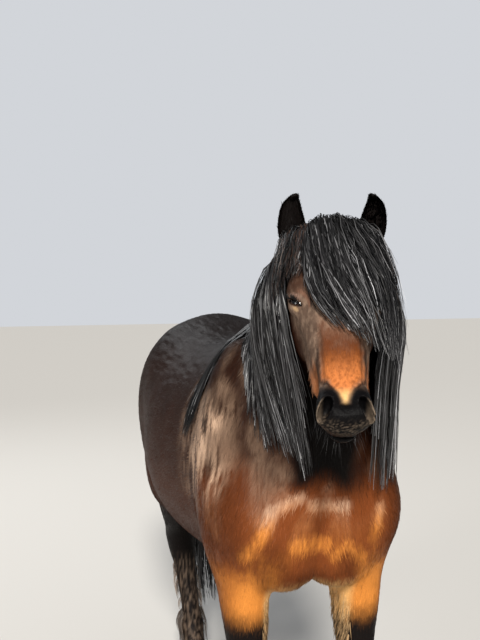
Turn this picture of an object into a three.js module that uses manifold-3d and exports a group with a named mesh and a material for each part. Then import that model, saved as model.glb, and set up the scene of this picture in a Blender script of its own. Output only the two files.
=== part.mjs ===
// A shetland pony, standing still: one flesh field is wrapped with coarse surfaces, parted into
// head, neck, torso and legs by thin cuts, and given locks of mane, forelock, tail and feather.
// Millimetres, +Z up. The pony faces -Y and its left side is +X.
import * as THREE from 'three';
import { mergeVertices } from 'three/addons/utils/BufferGeometryUtils.js';
import Module from 'manifold-3d';

const wasm = await Module();
wasm.setup();

// Driving dimensions
const withersHeight = 1050;
const bodyLength = 1120;
const barrelHalfWidth = 250;
const headLength = 400;
const headYaw = THREE.MathUtils.degToRad(-14);
const headSlope = THREE.MathUtils.degToRad(50);
const pollAt = new THREE.Vector3(-4, -604, 1266);
const neckRoot = new THREE.Vector3(0, -410, 905);
const neckSlope = THREE.MathUtils.degToRad(54.9);
const hoofHeight = 52;
const legCutHeight = 436;
const kneeCutHeight = 292;
const hockCutHeight = 318;
const eyeRadius = 19;
const earLength = 102;
const gap = 0.3;
const clearance = 0.4;
const trimMargin = 30;
const stumpSink = 12;
const stumpSinkFrom = 600;
const stumpReach = 20;
const stumpSpread = 26;

// Colours
const coatBrown = 0x3b1f12;
const chestBrown = 0x7a3d17;
const pointBlack = 0x17120f;
const hairBlack = 0x14110f;
const hoofGrey = 0x3a332c;
const eyeBrown = 0x120b08;

// Small helpers
const vec = (x, y, z) => new THREE.Vector3(x, y, z);
const lerp = THREE.MathUtils.lerp;
const clamp = THREE.MathUtils.clamp;
const smoothstep = THREE.MathUtils.smoothstep;
const across = vec(1, 0, 0);

/** A repeatable stream of numbers from 0 to 1. */
function randomStream(seed) {
  let state = seed;
  return () => {
    state = (Math.imul(state, 1664525) + 1013904223) >>> 0;
    return state / 4294967296;
  };
}

/** The union of two fields, rounded over a width. */
function blend(a, b, width) {
  const near = Math.max(width - Math.abs(a - b), 0) / width;
  return Math.min(a, b) - near * near * width / 4;
}

/** The columns of a table of stations at one place, joined by smooth curves. */
function stationAt(stations, place) {
  const last = stations.length - 1;
  const at = clamp(place, stations[0][0], stations[last][0]);
  let i = 0;
  while (i < last - 1 && stations[i + 1][0] < at) i += 1;
  const slope = (j, column) => {
    const before = stations[Math.max(j - 1, 0)];
    const after = stations[Math.min(j + 1, last)];
    return (after[column] - before[column]) / (after[0] - before[0]);
  };
  const [a, b] = [stations[i], stations[i + 1]];
  const span = b[0] - a[0];
  const t = (at - a[0]) / span;
  return a.slice(1).map((value, k) => {
    const column = k + 1;
    const t2 = t * t;
    const t3 = t2 * t;
    return (2 * t3 - 3 * t2 + 1) * value + (t3 - 2 * t2 + t) * span * slope(i, column)
      + (3 * t2 - 2 * t3) * b[column] + (t3 - t2) * span * slope(i + 1, column);
  });
}

/** A field for a body along a line, whose stations give shift, top, bottom and half width. */
function loft({ origin, along, up, side, stations, waist, power, caps }) {
  const first = stations[0][0];
  const last = stations[stations.length - 1][0];
  return (p) => {
    const d = p.clone().sub(origin);
    const s = d.dot(along);
    const [shift, top, bottom, half] = stationAt(stations, s);
    const middle = lerp(bottom, top, waist);
    const h = d.dot(up) - middle;
    const w = d.dot(side) - shift;
    const past = Math.max(first - s, s - last, 0);
    const cap = s < first ? caps[0] : caps[1];
    const reach = h > 0 ? top - middle : middle - bottom;
    const radius = Math.hypot(h, w, past);
    if (radius < 1e-6) return -Math.min(half, reach);
    const rho = ((Math.abs(w) / half) ** power + (Math.abs(h) / reach) ** power
      + (past / cap) ** power) ** (1 / power);
    return radius * (1 - 1 / rho);
  };
}

/** A field for an egg-shaped mass. */
function mass(centre, radii) {
  return (p) => {
    const x = (p.x - centre[0]) / radii[0];
    const y = (p.y - centre[1]) / radii[1];
    const z = (p.z - centre[2]) / radii[2];
    const k = Math.hypot(x, y, z);
    const slope = Math.hypot(x / radii[0], y / radii[1], z / radii[2]);
    return k < 1e-6 ? -Math.min(...radii) : k * (k - 1) / slope;
  };
}

// Torso: along the body, height of back, height of belly and half width, as parts of the dimensions
const torsoStations = [
  [-0.415, 0.87, 0.53, 0.55], [-0.36, 0.93, 0.495, 0.69], [-0.268, 0.995, 0.468, 0.8],
  [-0.09, 0.97, 0.447, 0.93], [0.09, 0.955, 0.44, 1], [0.25, 0.98, 0.478, 0.93],
  [0.375, 0.988, 0.571, 0.78], [0.48, 0.938, 0.648, 0.58], [0.52, 0.89, 0.7, 0.4],
].map(([at, back, belly, half]) => [
  at * bodyLength, 0, back * withersHeight, belly * withersHeight, half * barrelHalfWidth]);
const torsoLoft = loft({
  origin: vec(0, 0, 0), along: vec(0, 1, 0), up: vec(0, 0, 1), side: vec(1, 0, 0),
  stations: torsoStations, waist: 0.45, power: 2.1, caps: [58, 34],
});

// Muscles of one side, each mirrored: centre and radii
const muscles = [
  [[125, -370, 840], [70, 110, 190]], [[140, -370, 650], [62, 110, 110]],
  [[118, -455, 690], [70, 70, 95]], [[58, -475, 612], [60, 56, 84]],
  [[104, 370, 845], [98, 165, 145]], [[125, 455, 740], [95, 120, 190]],
  [[150, 300, 610], [70, 90, 110]],
].map(([centre, radii]) => mass(centre, radii));

// Legs of one side: height, sideways place, back, front and half width
const foreStations = [
  [45, 117, -388, -468, 36], [55, 117, -388, -468, 36], [85, 117, -388, -453, 28],
  [118, 117, -368, -440, 32], [160, 118, -373, -432, 25], [225, 119, -374, -433, 25],
  [280, 120, -374, -446, 33], [315, 121, -371, -454, 40], [350, 121, -374, -453, 37],
  [410, 122, -358, -458, 42], [480, 124, -330, -465, 50], [545, 122, -300, -470, 58],
  [640, 118, -290, -465, 60],
];
const hindStations = [
  [45, 70, 430, 352, 38], [55, 70, 430, 352, 38], [88, 71, 436, 372, 31],
  [122, 72, 462, 390, 35], [165, 75, 460, 402, 28], [230, 80, 480, 420, 30],
  [290, 86, 502, 433, 34], [335, 92, 529, 434, 40], [375, 97, 550, 424, 42],
  [400, 100, 547, 412, 41], [430, 105, 520, 385, 47], [490, 114, 512, 325, 57],
  [560, 122, 518, 262, 67], [640, 123, 540, 235, 70],
];
const legLoft = (stations) => loft({
  origin: vec(0, 0, 0), along: vec(0, 0, 1), up: vec(0, 1, 0), side: vec(1, 0, 0),
  stations, waist: 0.5, power: 2.2, caps: [8, 60],
});
const foreLoft = legLoft(foreStations);
const hindLoft = legLoft(hindStations);

// Neck: along its axis, sideways shift, crest, throat and half width
const neckAxis = vec(0, -Math.cos(neckSlope), Math.sin(neckSlope));
const neckUp = vec(0, Math.sin(neckSlope), Math.cos(neckSlope));
const neckStations = [
  [-160, 0, 200, -200, 150], [0, 0, 190, -185, 118], [120, -1, 160, -140, 88],
  [240, -3, 135, -112, 74], [330, -5, 117, -98, 66], [372, -6, 98, -84, 54],
];
const neckLoft = loft({
  origin: neckRoot, along: neckAxis, up: neckUp, side: vec(1, 0, 0),
  stations: neckStations, waist: 0.42, power: 2, caps: [60, 22],
});

// Head: down the face from the poll, face line, jaw line and half width
const headTurn = new THREE.Matrix4().makeRotationZ(headYaw);
const faceDown = vec(0, -Math.cos(headSlope), -Math.sin(headSlope)).applyMatrix4(headTurn);
const faceOut = vec(0, -Math.sin(headSlope), Math.cos(headSlope)).applyMatrix4(headTurn);
const headLeft = vec(1, 0, 0).applyMatrix4(headTurn);
const headStations = [
  [0, -4, -95, 44], [25, 6, -118, 60], [60, 11, -142, 73], [110, 12, -165, 82],
  [157, 9, -178, 80], [200, 4, -168, 67], [245, 0, -138, 54], [300, -2, -108, 44],
  [350, -3, -98, 41], [385, -14, -94, 36],
].map(([at, face, jaw, half]) => [at * headLength / 400, 0, face, jaw, half]);
const headLoft = loft({
  origin: pollAt, along: faceDown, up: faceOut, side: headLeft,
  stations: headStations, waist: 0.66, power: 2.5, caps: [16, 16],
});

/** A point of the head from its place down the face, out of the face and to the left. */
function onHead(down, out, left) {
  return pollAt.clone().addScaledVector(faceDown, down).addScaledVector(faceOut, out)
    .addScaledVector(headLeft, left);
}

/** The head's own coordinates of a point, mirrored to its left side. */
function inHead(p) {
  const d = p.clone().sub(pollAt);
  return vec(Math.abs(d.dot(headLeft)), d.dot(faceDown), d.dot(faceOut));
}

// Masses of the head, mirrored: left, down and out of the face, with their radii
const cheek = mass([48, 152, -112], [31, 70, 62]);
const brow = mass([68, 136, -32], [20, 30, 24]);
const nostrilRim = mass([28, 381, -30], [20, 30, 27]);
const upperLip = mass([0, 400, -42], [35, 21, 33]);
const lowerLip = mass([0, 389, -83], [27, 26, 19]);

function headField(p) {
  const q = inHead(p);
  let f = headLoft(p);
  for (const part of [cheek, brow, nostrilRim, upperLip, lowerLip]) f = blend(f, part(q), 20);
  return f;
}

const mirrored = (p) => vec(Math.abs(p.x), p.y, p.z);

function trunkField(p) {
  const q = mirrored(p);
  let f = torsoLoft(p);
  for (const muscle of muscles) f = blend(f, muscle(q), 60);
  return f;
}

function bodyField(p) {
  const q = mirrored(p);
  return blend(blend(trunkField(p), foreLoft(q), 45), hindLoft(q), 45);
}

/** Below zero inside the pony's flesh, above zero outside it. */
function fleshField(p) {
  const body = blend(bodyField(p), neckLoft(p), 90);
  return blend(body, headField(p), 35);
}

/** The direction straight out of a field. */
function outward(field, p) {
  const step = 2;
  const change = (axis) => {
    const ahead = p.clone().addScaledVector(axis, step);
    const behind = p.clone().addScaledVector(axis, -step);
    return field(ahead) - field(behind);
  };
  return vec(change(vec(1, 0, 0)), change(vec(0, 1, 0)), change(vec(0, 0, 1))).normalize();
}

// Thin cuts: each plane's normal points into the piece named first
const plane = (normal, point) => ({ normal, offset: normal.dot(point) });
const headCut = plane(
  vec(0, -0.989, -0.149).applyMatrix4(new THREE.Matrix4().makeRotationZ(headYaw / 2)).normalize(),
  vec(-8, -552, 1150));
const neckCut = plane(neckAxis, neckRoot.clone().addScaledVector(neckAxis, 45));
const stumpTop = plane(vec(0, 0, -1), vec(0, 0, 700));
const legCut = plane(vec(0, 0, -1), vec(0, 0, legCutHeight));
const kneeCut = plane(vec(0, 0, -1), vec(0, 0, kneeCutHeight));
const hockCut = plane(vec(0, 0, -1), vec(0, 0, hockCutHeight));
const hoofCut = plane(vec(0, 0, -1), vec(0, 0, hoofHeight));
const flipped = ({ normal, offset }) => ({ normal: normal.clone().negate(), offset: -offset });

/** Turn a closed geometry into a solid. */
function solid(geometry) {
  const bare = geometry.clone();
  bare.deleteAttribute('normal');
  bare.deleteAttribute('uv');
  const merged = mergeVertices(bare, 1e-3);
  const points = merged.attributes.position.array;
  const faces = Array.from(merged.index.array);
  const [a, b, c] = [vec(0, 0, 0), vec(0, 0, 0), vec(0, 0, 0)];
  let volume = 0;
  for (let i = 0; i < faces.length; i += 3) {
    a.fromArray(points, 3 * faces[i]);
    b.fromArray(points, 3 * faces[i + 1]);
    c.fromArray(points, 3 * faces[i + 2]);
    volume += a.dot(b.cross(c));
  }
  if (volume < 0) faces.reverse();
  return new wasm.Manifold(new wasm.Mesh({
    numProp: 3, vertProperties: new Float32Array(points), triVerts: new Uint32Array(faces),
  }));
}

const union = (bodies) => wasm.Manifold.union(bodies);

/** Back from a solid to a geometry. */
function geometryOf(body) {
  const { numProp, vertProperties, triVerts } = body.getMesh();
  const positions = new Float32Array(vertProperties.length / numProp * 3);
  for (let i = 0; i < positions.length / 3; i += 1) {
    for (let k = 0; k < 3; k += 1) positions[3 * i + k] = vertProperties[numProp * i + k];
  }
  const geometry = new THREE.BufferGeometry();
  geometry.setAttribute('position', new THREE.BufferAttribute(positions, 3));
  geometry.setIndex(new THREE.BufferAttribute(new Uint32Array(triVerts), 1));
  geometry.computeVertexNormals();
  return geometry;
}

/** The largest closed surface of a solid. */
function largest(body) {
  const pieces = body.decompose().sort((a, b) => b.volume() - a.volume());
  return pieces[0];
}

/** A ball whose rows and columns are pulled to the places that a function gives. */
function pulled(around, rows, place) {
  const ball = new THREE.SphereGeometry(1, around, rows);
  ball.deleteAttribute('normal');
  ball.deleteAttribute('uv');
  const merged = mergeVertices(ball, 1e-5);
  const position = merged.attributes.position;
  const unit = vec(0, 0, 0);
  for (let i = 0; i < position.count; i += 1) {
    unit.fromBufferAttribute(position, i);
    const t = Math.acos(clamp(unit.y, -1, 1)) / Math.PI;
    const angle = Math.atan2(unit.z, unit.x);
    const at = place(Math.round(t * rows), angle);
    position.setXYZ(i, at.x, at.y, at.z);
  }
  return merged;
}

/** Where a ray from inside a field first leaves it. */
function leave(field, from, direction) {
  const step = 8;
  let near = 0;
  let far = step;
  while (far < 900 && field(from.clone().addScaledVector(direction, far)) < 0) {
    near = far;
    far += step;
  }
  for (let i = 0; i < 12; i += 1) {
    const middle = (near + far) / 2;
    if (field(from.clone().addScaledVector(direction, middle)) < 0) near = middle;
    else far = middle;
  }
  return from.clone().addScaledVector(direction, (near + far) / 2);
}

/**
 * Wrap a field along a spine: rings of rays square to the axis, fanned out over each end.
 * Planes keep the wrap near the piece, and it is trimmed to them with a gap.
 */
function wrap({ field, spine, axis, side, around, rings, ends, planes, level = 0 }) {
  const [startRows, endRows] = ends;
  const lift = axis.clone().cross(side);
  const line = new THREE.CatmullRomCurve3(spine);
  const rows = rings + startRows + endRows - 1;
  const region = (p) => {
    let f = field(p) - level;
    for (const { normal, offset } of planes) {
      f = Math.max(f, offset - trimMargin - normal.dot(p));
    }
    return f;
  };
  const geometry = pulled(around, rows, (row, angle) => {
    const along = clamp((row - startRows) / (rings - 1), 0, 1);
    const before = Math.max(startRows - row, 0) / startRows;
    const after = Math.max(row - (rows - endRows), 0) / endRows;
    const tilt = (before - after) * Math.PI / 2;
    const ray = side.clone().multiplyScalar(Math.cos(angle)).addScaledVector(lift, Math.sin(angle));
    ray.multiplyScalar(Math.cos(tilt)).addScaledVector(axis, -Math.sin(tilt));
    return leave(region, line.getPoint(along), ray);
  });
  return planes.reduce(
    (body, { normal, offset }) => body.trimByPlane(normal.toArray(), offset + gap / 2 - level),
    solid(geometry));
}

/** The top of one leg, which runs up inside the trunk and sinks under its surface. */
function stumpSolid(flip, stations, level) {
  const high = -stumpTop.offset;
  const top = stations[stations.length - 1].slice(1);
  const near = legLoft([...stations, [high + stumpReach, ...top]]);
  const sink = (z) => stumpSink * smoothstep(z, stumpSinkFrom, high);
  const field = (p) => Math.max(bodyField(p) + sink(p.z), near(mirrored(p)) - stumpSpread);
  return legSolid({ flip, stations, field, top: stumpTop, bottom: legCut, rings: 5, around: 14, level });
}

function torsoSolid(level = 0) {
  const trunk = wrap({
    field: (p) => blend(
      lerp(trunkField(p), bodyField(p), smoothstep(p.z, 520, 600)), neckLoft(p), 90),
    spine: [vec(0, -400, 735), vec(0, -200, 745), vec(0, 100, 750), vec(0, 330, 790), vec(0, 520, 800)],
    axis: vec(0, 1, 0), side: across, around: 30, rings: 14, ends: [6, 5], level,
    planes: [flipped(neckCut), flipped(legCut)],
  });
  const stumps = [foreStations, hindStations]
    .flatMap((stations) => [1, -1].map((flip) => stumpSolid(flip, stations, level)));
  return union([trunk, ...stumps]);
}

function neckSolid(level = 0) {
  const at = (s, h) => neckRoot.clone().addScaledVector(neckAxis, s).addScaledVector(neckUp, h)
    .setX(-s / 35);
  return wrap({
    field: fleshField, spine: [at(30, 0), at(160, 5), at(280, 8), at(390, 0)],
    axis: neckAxis, side: across, around: 24, rings: 9, ends: [1, 1], level,
    planes: [neckCut, flipped(headCut)],
  });
}

function headSolid(level = 0, around = 32) {
  return wrap({
    field: fleshField,
    spine: [onHead(20, -60, 0), onHead(110, -70, 0), onHead(210, -66, 0), onHead(300, -52, 0),
      onHead(385, -55, 0)],
    axis: faceDown, side: headLeft, around, rings: 17, ends: [4, 6], level,
    planes: [headCut],
  });
}

function legSolid({ flip, stations, field = bodyField, top, bottom, rings, around, level = 0 }) {
  const centre = (z) => {
    const [x, back, front] = stationAt(stations, z);
    return vec(flip * x, (back + front) / 2, z);
  };
  const high = -top.offset;
  const low = -bottom.offset;
  const spine = [1, 0.75, 0.5, 0.25, 0].map((t) => centre(lerp(low, high, t)));
  return wrap({
    field, spine, axis: vec(0, 0, -1), side: across,
    around, rings, ends: [1, 1], level, planes: [top, flipped(bottom)],
  });
}

// Hooves: sole and coronet, each with its front, back and half width
const foreHoof = { x: 117, sole: [-496, -382, 48], coronet: [-468, -388, 36] };
const hindHoof = { x: 70, sole: [324, 434, 48], coronet: [352, 430, 36] };

function hoofSolid(flip, hoof, swell = 0) {
  const around = 16;
  const heights = [0, 0, 22, hoofHeight - gap / 2, hoofHeight - gap / 2];
  return solid(pulled(around, 4, (row, angle) => {
    const z = heights[row] + (row < 2 ? -swell : row > 2 ? swell : 0);
    const t = heights[row] / hoofHeight;
    const [front, back, half] = hoof.sole.map((value, k) => lerp(value, hoof.coronet[k], t));
    const spread = row === 0 || row === 4 ? 0 : 1;
    const heel = 1 - 0.16 * Math.max(Math.sin(angle), 0) ** 3;
    return vec(
      flip * hoof.x + spread * (half + swell) * Math.cos(angle) * heel,
      (front + back) / 2 + spread * ((back - front) / 2 + swell) * Math.sin(angle) * heel, z);
  }));
}

/** The middle of an ear's base and its tip. */
function earPlace(flip) {
  const base = onHead(8, -56, flip * 68);
  return { base, tip: base.clone().add(vec(0, -14, earLength)).addScaledVector(headLeft, flip * 2) };
}

// Ears: a cup that opens forward, its tip bent in towards the other ear. Each station along it
// gives its shift outwards and its half width
const earStations = [
  [0, 0, 22], [0.3, 3, 27], [0.45, 6, 28], [0.63, 9, 24.5], [0.82, 9.5, 18], [0.91, 7, 12],
  [0.97, 3, 7], [1, 1, 4],
];
const earRows = 8;
const earSink = 24;
const earDepth = 0.74;
const earWall = 4;

function earSolid(flip, swell = 0) {
  const { base, tip } = earPlace(flip);
  const up = tip.clone().sub(base).normalize();
  const out = headLeft.clone().multiplyScalar(flip);
  const forward = out.clone().cross(up).multiplyScalar(flip).normalize();
  if (forward.dot(faceOut) < 0) forward.negate();
  const cone = ({ inset, shift, lift, drop }) => solid(pulled(10, earRows, (row, angle) => {
    const t = row / earRows;
    const pole = row === 0 || row === earRows ? 0 : 1;
    const [bend, full] = stationAt(earStations, t);
    const half = Math.max(full - inset, 1);
    return base.clone()
      .addScaledVector(up, lerp(-earSink + lift, earLength - drop, t))
      .addScaledVector(out, bend + pole * (half + swell) * Math.cos(angle))
      .addScaledVector(forward, shift + pole * (earDepth * half + swell) * Math.sin(angle));
  }));
  const outer = cone({ inset: 0, shift: 0, lift: 0, drop: 0 });
  if (swell > 0) return outer;
  return outer.subtract(cone({ inset: earWall, shift: 2 * earWall, lift: 16, drop: 10 }));
}

// Eyes
const eyeCentre = (flip) => onHead(162, -37, flip * 65);
const lidDepth = 30;
const ball = (centre, radius, around = 14) => {
  const geometry = new THREE.SphereGeometry(radius, around, around - 6);
  geometry.translate(centre.x, centre.y, centre.z);
  return solid(geometry);
};

/** An almond-shaped opening through the lids, from its outer corner down to its inner one. */
function lidOpening(flip) {
  const almond = new THREE.Shape();
  almond.moveTo(-17, 3);
  almond.quadraticCurveTo(-2, 21, 18, -6);
  almond.quadraticCurveTo(0, -14, -17, 3);
  const geometry = new THREE.ExtrudeGeometry(
    almond, { depth: lidDepth, bevelEnabled: false, curveSegments: 3 });
  const look = headLeft.clone().multiplyScalar(0.6 * flip).addScaledVector(faceOut, 0.79)
    .addScaledVector(faceDown, 0.15).normalize();
  const inward = headLeft.clone().multiplyScalar(-0.66 * flip).addScaledVector(faceOut, 0.3)
    .addScaledVector(faceDown, 0.69);
  const forward = inward.addScaledVector(look, -inward.dot(look)).normalize();
  const top = look.clone().cross(forward).multiplyScalar(flip);
  const frame = new THREE.Matrix4().makeBasis(forward, top, look);
  frame.setPosition(eyeCentre(flip).addScaledVector(look, 5));
  geometry.applyMatrix4(frame);
  return solid(geometry);
}

const nostrilRadii = [9, 18, 17];
const nostrilTurn = 0.25;

function nostril(flip) {
  const geometry = new THREE.SphereGeometry(1, 10, 6);
  const [wide, long, deep] = nostrilRadii;
  const turn = new THREE.Matrix4().makeRotationAxis(faceOut, flip * nostrilTurn);
  const frame = new THREE.Matrix4().makeBasis(
    headLeft.clone().multiplyScalar(wide), faceDown.clone().multiplyScalar(long),
    faceOut.clone().multiplyScalar(deep));
  geometry.applyMatrix4(turn.multiply(frame));
  const at = onHead(389, -14, flip * 35);
  geometry.translate(at.x, at.y, at.z);
  return solid(geometry);
}

/** A thin groove where the lips meet, open all round the front of the muzzle. */
function mouthGroove() {
  const slab = new THREE.BoxGeometry(130, 120, 2);
  const tilt = new THREE.Matrix4().makeBasis(headLeft, faceDown, headLeft.clone().cross(faceDown));
  tilt.setPosition(onHead(384, -69, 0));
  slab.applyMatrix4(tilt);
  return solid(slab).subtract(headSolid(-6, 20));
}

// Hair. Lengths, widths and thicknesses in millimetres
const lockSteps = 4;
const lockThickness = 5;
const layerPitch = 6.5;
const rootDepth = 14;
const floorClearance = 8;

/** A field for a round bar between two points. */
function bar(a, b, radius) {
  const line = new THREE.Line3(a, b);
  const nearest = vec(0, 0, 0);
  return (p) => line.closestPointToPoint(p, true, nearest).distanceTo(p) - radius;
}

const earBars = [1, -1].map((flip) => {
  const { base, tip } = earPlace(flip);
  return bar(base, base.clone().lerp(tip, 0.8), 26);
});

/** What the mane and forelock lie against: the flesh and the ears. */
function headGuard(p) {
  return Math.min(fleshField(p), ...earBars.map((ear) => ear(p)));
}

/** The sheet that a set of guides spans: a place for each u across it and t along the hair. */
function sheetOf(guides) {
  const lines = guides[0].map((_, j) => new THREE.CatmullRomCurve3(guides.map((guide) => guide[j])));
  return (u, t) => new THREE.CatmullRomCurve3(lines.map((line) => line.getPoint(u))).getPoint(t);
}

/**
 * The course of a lock that lies in a sheet, some layers below it: from its root in the skin to
 * its tip, kept off whatever it rests on. Its flat side faces out where wide x along x face does.
 */
function lockCourse({ sheet, face, guard, root, layer, layers, skip, u, length, sway, phase }) {
  const step = 0.02;
  const points = [];
  const wides = [];
  for (let i = 0; i <= lockSteps; i += 1) {
    const t = lerp(skip * layer, length, i / lockSteps);
    const at = clamp(u + sway * Math.sin(3 * t + phase) * t, step, 1 - step);
    const p = sheet(at, t);
    const wide = sheet(at + step, t).sub(sheet(at - step, t)).normalize();
    const along = sheet(at, Math.min(t + step, 1)).sub(sheet(at, Math.max(t - step, 0)));
    const out = wide.clone().cross(along).multiplyScalar(face).normalize();
    const room = guard(p) - lockThickness;
    p.addScaledVector(out, -layer * Math.min(layerPitch, Math.max(room, 0) / (layers - 1)));
    const over = guard(p);
    if (over < lockThickness) p.addScaledVector(outward(guard, p), lockThickness - over);
    points.push(p);
    wides.push(wide);
  }
  const start = outward(guard, root);
  points.unshift(root.clone().addScaledVector(start, -rootDepth), root.clone().addScaledVector(start, 3));
  wides.unshift(wides[0], wides[0]);
  return { points, wides, face };
}

/** A flat tapered lock along a course, with a ridge outside, widest near half of its length. */
function lockSolid({ points, wides, face }, width, swell = 0) {
  const rows = points.length - 1;
  return solid(pulled(3, rows, (row, angle) => {
    const t = row / rows;
    const before = points[Math.max(row - 1, 0)];
    const after = points[Math.min(row + 1, rows)];
    const course = after.clone().sub(before).normalize();
    const across = wides[row].clone().addScaledVector(course, -wides[row].dot(course)).normalize();
    const thick = across.clone().cross(course).multiplyScalar(face);
    const full = (0.3 + 0.7 * smoothstep(t, 0.1, 0.5)) * (1 - smoothstep(t, 0.5, 1.1) * 0.75);
    const pole = row === 0 || row === rows ? 0 : 1;
    return points[row].clone()
      .addScaledVector(across, pole * (width * full / 2 + swell) * Math.sin(angle) * 1.15)
      .addScaledVector(thick, -pole * (lockThickness * (0.6 + 0.4 * full) / 2 + swell) * Math.cos(angle))
      .addScaledVector(course, row === rows ? swell : 0);
  }));
}

/** The locks of a set of courses as solids, a little larger when they clear their neighbours. */
function locks(courses, swell = 0) {
  return courses.map((course) => lockSolid(course.line ??= lockCourse(course), course.width, swell));
}

// Mane: guides from the poll to the withers. Each has its root's place along the neck, then the
// places that the outermost hair passes: out to the side, along the body and height
const maneLayers = 5;
const maneRightGuides = [
  [352, [62, -522, 1250], [120, -590, 1168], [114, -622, 1040], [48, -618, 788]],
  [300, [86, -492, 1210], [147, -560, 1118], [136, -570, 990], [92, -590, 850]],
  [235, [82, -445, 1140], [120, -478, 1050], [124, -492, 960], [124, -505, 868]],
  [160, [84, -400, 1082], [112, -408, 1050], [124, -415, 1025], [130, -422, 1000]],
];
const maneLeftGuides = [
  [352, [70, -545, 1250], [125, -610, 1150], [128, -628, 1000], [126, -613, 762]],
  [300, [80, -505, 1210], [158, -560, 1080], [148, -570, 930], [150, -562, 740]],
  [225, [88, -445, 1140], [138, -480, 1030], [152, -495, 900], [168, -500, 790]],
  [130, [98, -370, 1070], [160, -390, 1000], [190, -405, 940], [204, -415, 880]],
];
const withersGuides = [
  [118, [62, -340, 1078], [118, -325, 1020], [164, -282, 918], [190, -225, 800]],
  [60, [54, -290, 1066], [112, -268, 1020], [160, -226, 924], [196, -196, 800]],
];
const maneLocks = 16;
const withersLocks = 5;
const withersLayers = 3;

function maneCourses() {
  const random = randomStream(7);
  const side = (guides, flip, count, layers, width) => {
    const sheet = sheetOf(guides.map(
      (guide) => guide.slice(1).map(([x, y, z]) => vec(flip * x, y, z))));
    return Array.from({ length: count }, (_, i) => {
      const u = (i + 0.5 + 0.3 * (random() - 0.5)) / count;
      const layer = (2 * i) % layers;
      const k = Math.min(Math.floor(u * (guides.length - 1)), guides.length - 2);
      const s = lerp(guides[k][0], guides[k + 1][0], u * (guides.length - 1) - k);
      const inside = neckRoot.clone().addScaledVector(neckAxis, s).addScaledVector(neckUp, 50);
      const lean = vec(flip * lerp(0.15, 1.3, layer / layers), 0, 0).add(neckUp).normalize();
      return {
        sheet, face: -flip, guard: headGuard, root: leave(fleshField, inside, lean), layer, u,
        layers, skip: 0.06, length: 0.84 + 0.16 * random(), sway: 0.06 * (random() - 0.5),
        phase: 6 * random(),
        width: width * lerp(0.85, 1.15, random()),
      };
    });
  };
  return [
    ...side(maneRightGuides, -1, maneLocks, maneLayers, 50.5),
    ...side(maneLeftGuides, 1, maneLocks, maneLayers, 52),
    ...side(withersGuides, -1, withersLocks, withersLayers, 40),
  ];
}

// Forelock: guides from the right ear to the left one. Each has the places that the outermost hair
// passes: to the left, down the face and out of it
const forelockGuides = [
  [[-52, -2, 17], [-57, 94, 22], [-44, 182, 25], [-8, 242, 18]],
  [[-36, -8, 26], [-31, 98, 32], [-6, 198, 32], [32, 272, 20]],
  [[-8, -12, 30], [12, 90, 36], [42, 196, 33], [67, 293, 12]],
  [[20, -12, 28], [54, 68, 29], [86, 168, 18], [99, 292, -8]],
  [[44, -4, 19], [86, 46, 14], [114, 148, -5], [118, 306, -36]],
];
const forelockLayers = 3;
const forelockLocks = 14;

function forelockCourses() {
  const random = randomStream(23);
  const sheet = sheetOf(forelockGuides.map(
    (guide) => guide.map(([left, along, out]) => onHead(along, out, left))));
  return Array.from({ length: forelockLocks }, (_, i) => {
    const u = (i + 0.5) / forelockLocks;
    const layer = i % forelockLayers;
    const lean = faceOut.clone().addScaledVector(headLeft, lerp(-0.25, 0.3, u)).normalize();
    return {
      sheet, face: -1, guard: headGuard, layer, layers: forelockLayers, skip: 0.09, u,
      root: leave(fleshField, onHead(16 * layer, -60, lerp(-34, 38, u)), lean),
      length: 0.84 + 0.16 * random(), sway: 0.04 * (random() - 0.5), phase: 6 * random(),
      width: lerp(30, 38, random()),
    };
  });
}

// Tail: a bent dock, and hair round it with its middle and half widths at falling heights
const dock = [vec(0, 552, 905), vec(0, 604, 908), vec(0, 636, 880), vec(0, 648, 820), vec(1, 646, 750),
  vec(3, 642, 680)];
const dockRadii = [34, 31, 27, 23, 18, 12];
const tailStations = [
  [915, 0, 618, 34, 26], [860, 0, 640, 44, 32], [780, 1, 650, 52, 36], [650, 6, 650, 72, 38],
  [520, 16, 644, 88, 42], [380, 26, 638, 88, 40], [230, 32, 634, 76, 34], [90, 34, 632, 50, 24],
].map(([z, ...rest]) => [-z, ...rest]);
const tailRings = [
  { count: 10, spread: [1, 0.8], width: 64 }, { count: 5, spread: [0.5, 0.36], width: 54 },
];

function dockSolid() {
  const rows = dock.length - 1;
  const line = new THREE.CatmullRomCurve3(dock);
  const steps = 2 * rows;
  return solid(pulled(10, steps, (row, angle) => {
    const t = row / steps;
    const course = line.getTangent(t);
    const back = course.clone().cross(vec(1, 0, 0)).normalize();
    const k = Math.min(Math.floor(t * rows), rows - 1);
    const radius = row === 0 || row === steps ? 0 : lerp(dockRadii[k], dockRadii[k + 1], t * rows - k);
    return line.getPoint(t).addScaledVector(vec(1, 0, 0), radius * Math.cos(angle))
      .addScaledVector(back, radius * Math.sin(angle));
  }));
}

const dockBars = dock.slice(1).map(
  (point, k) => bar(dock[k], point, (dockRadii[k] + dockRadii[k + 1]) / 2));

const dockField = (p) => Math.min(...dockBars.map((piece) => piece(p)));

/** What the tail's hair lies against: the rump, the thighs and the dock. */
const tailGuard = (p) => Math.min(bodyField(p), dockField(p));

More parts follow.
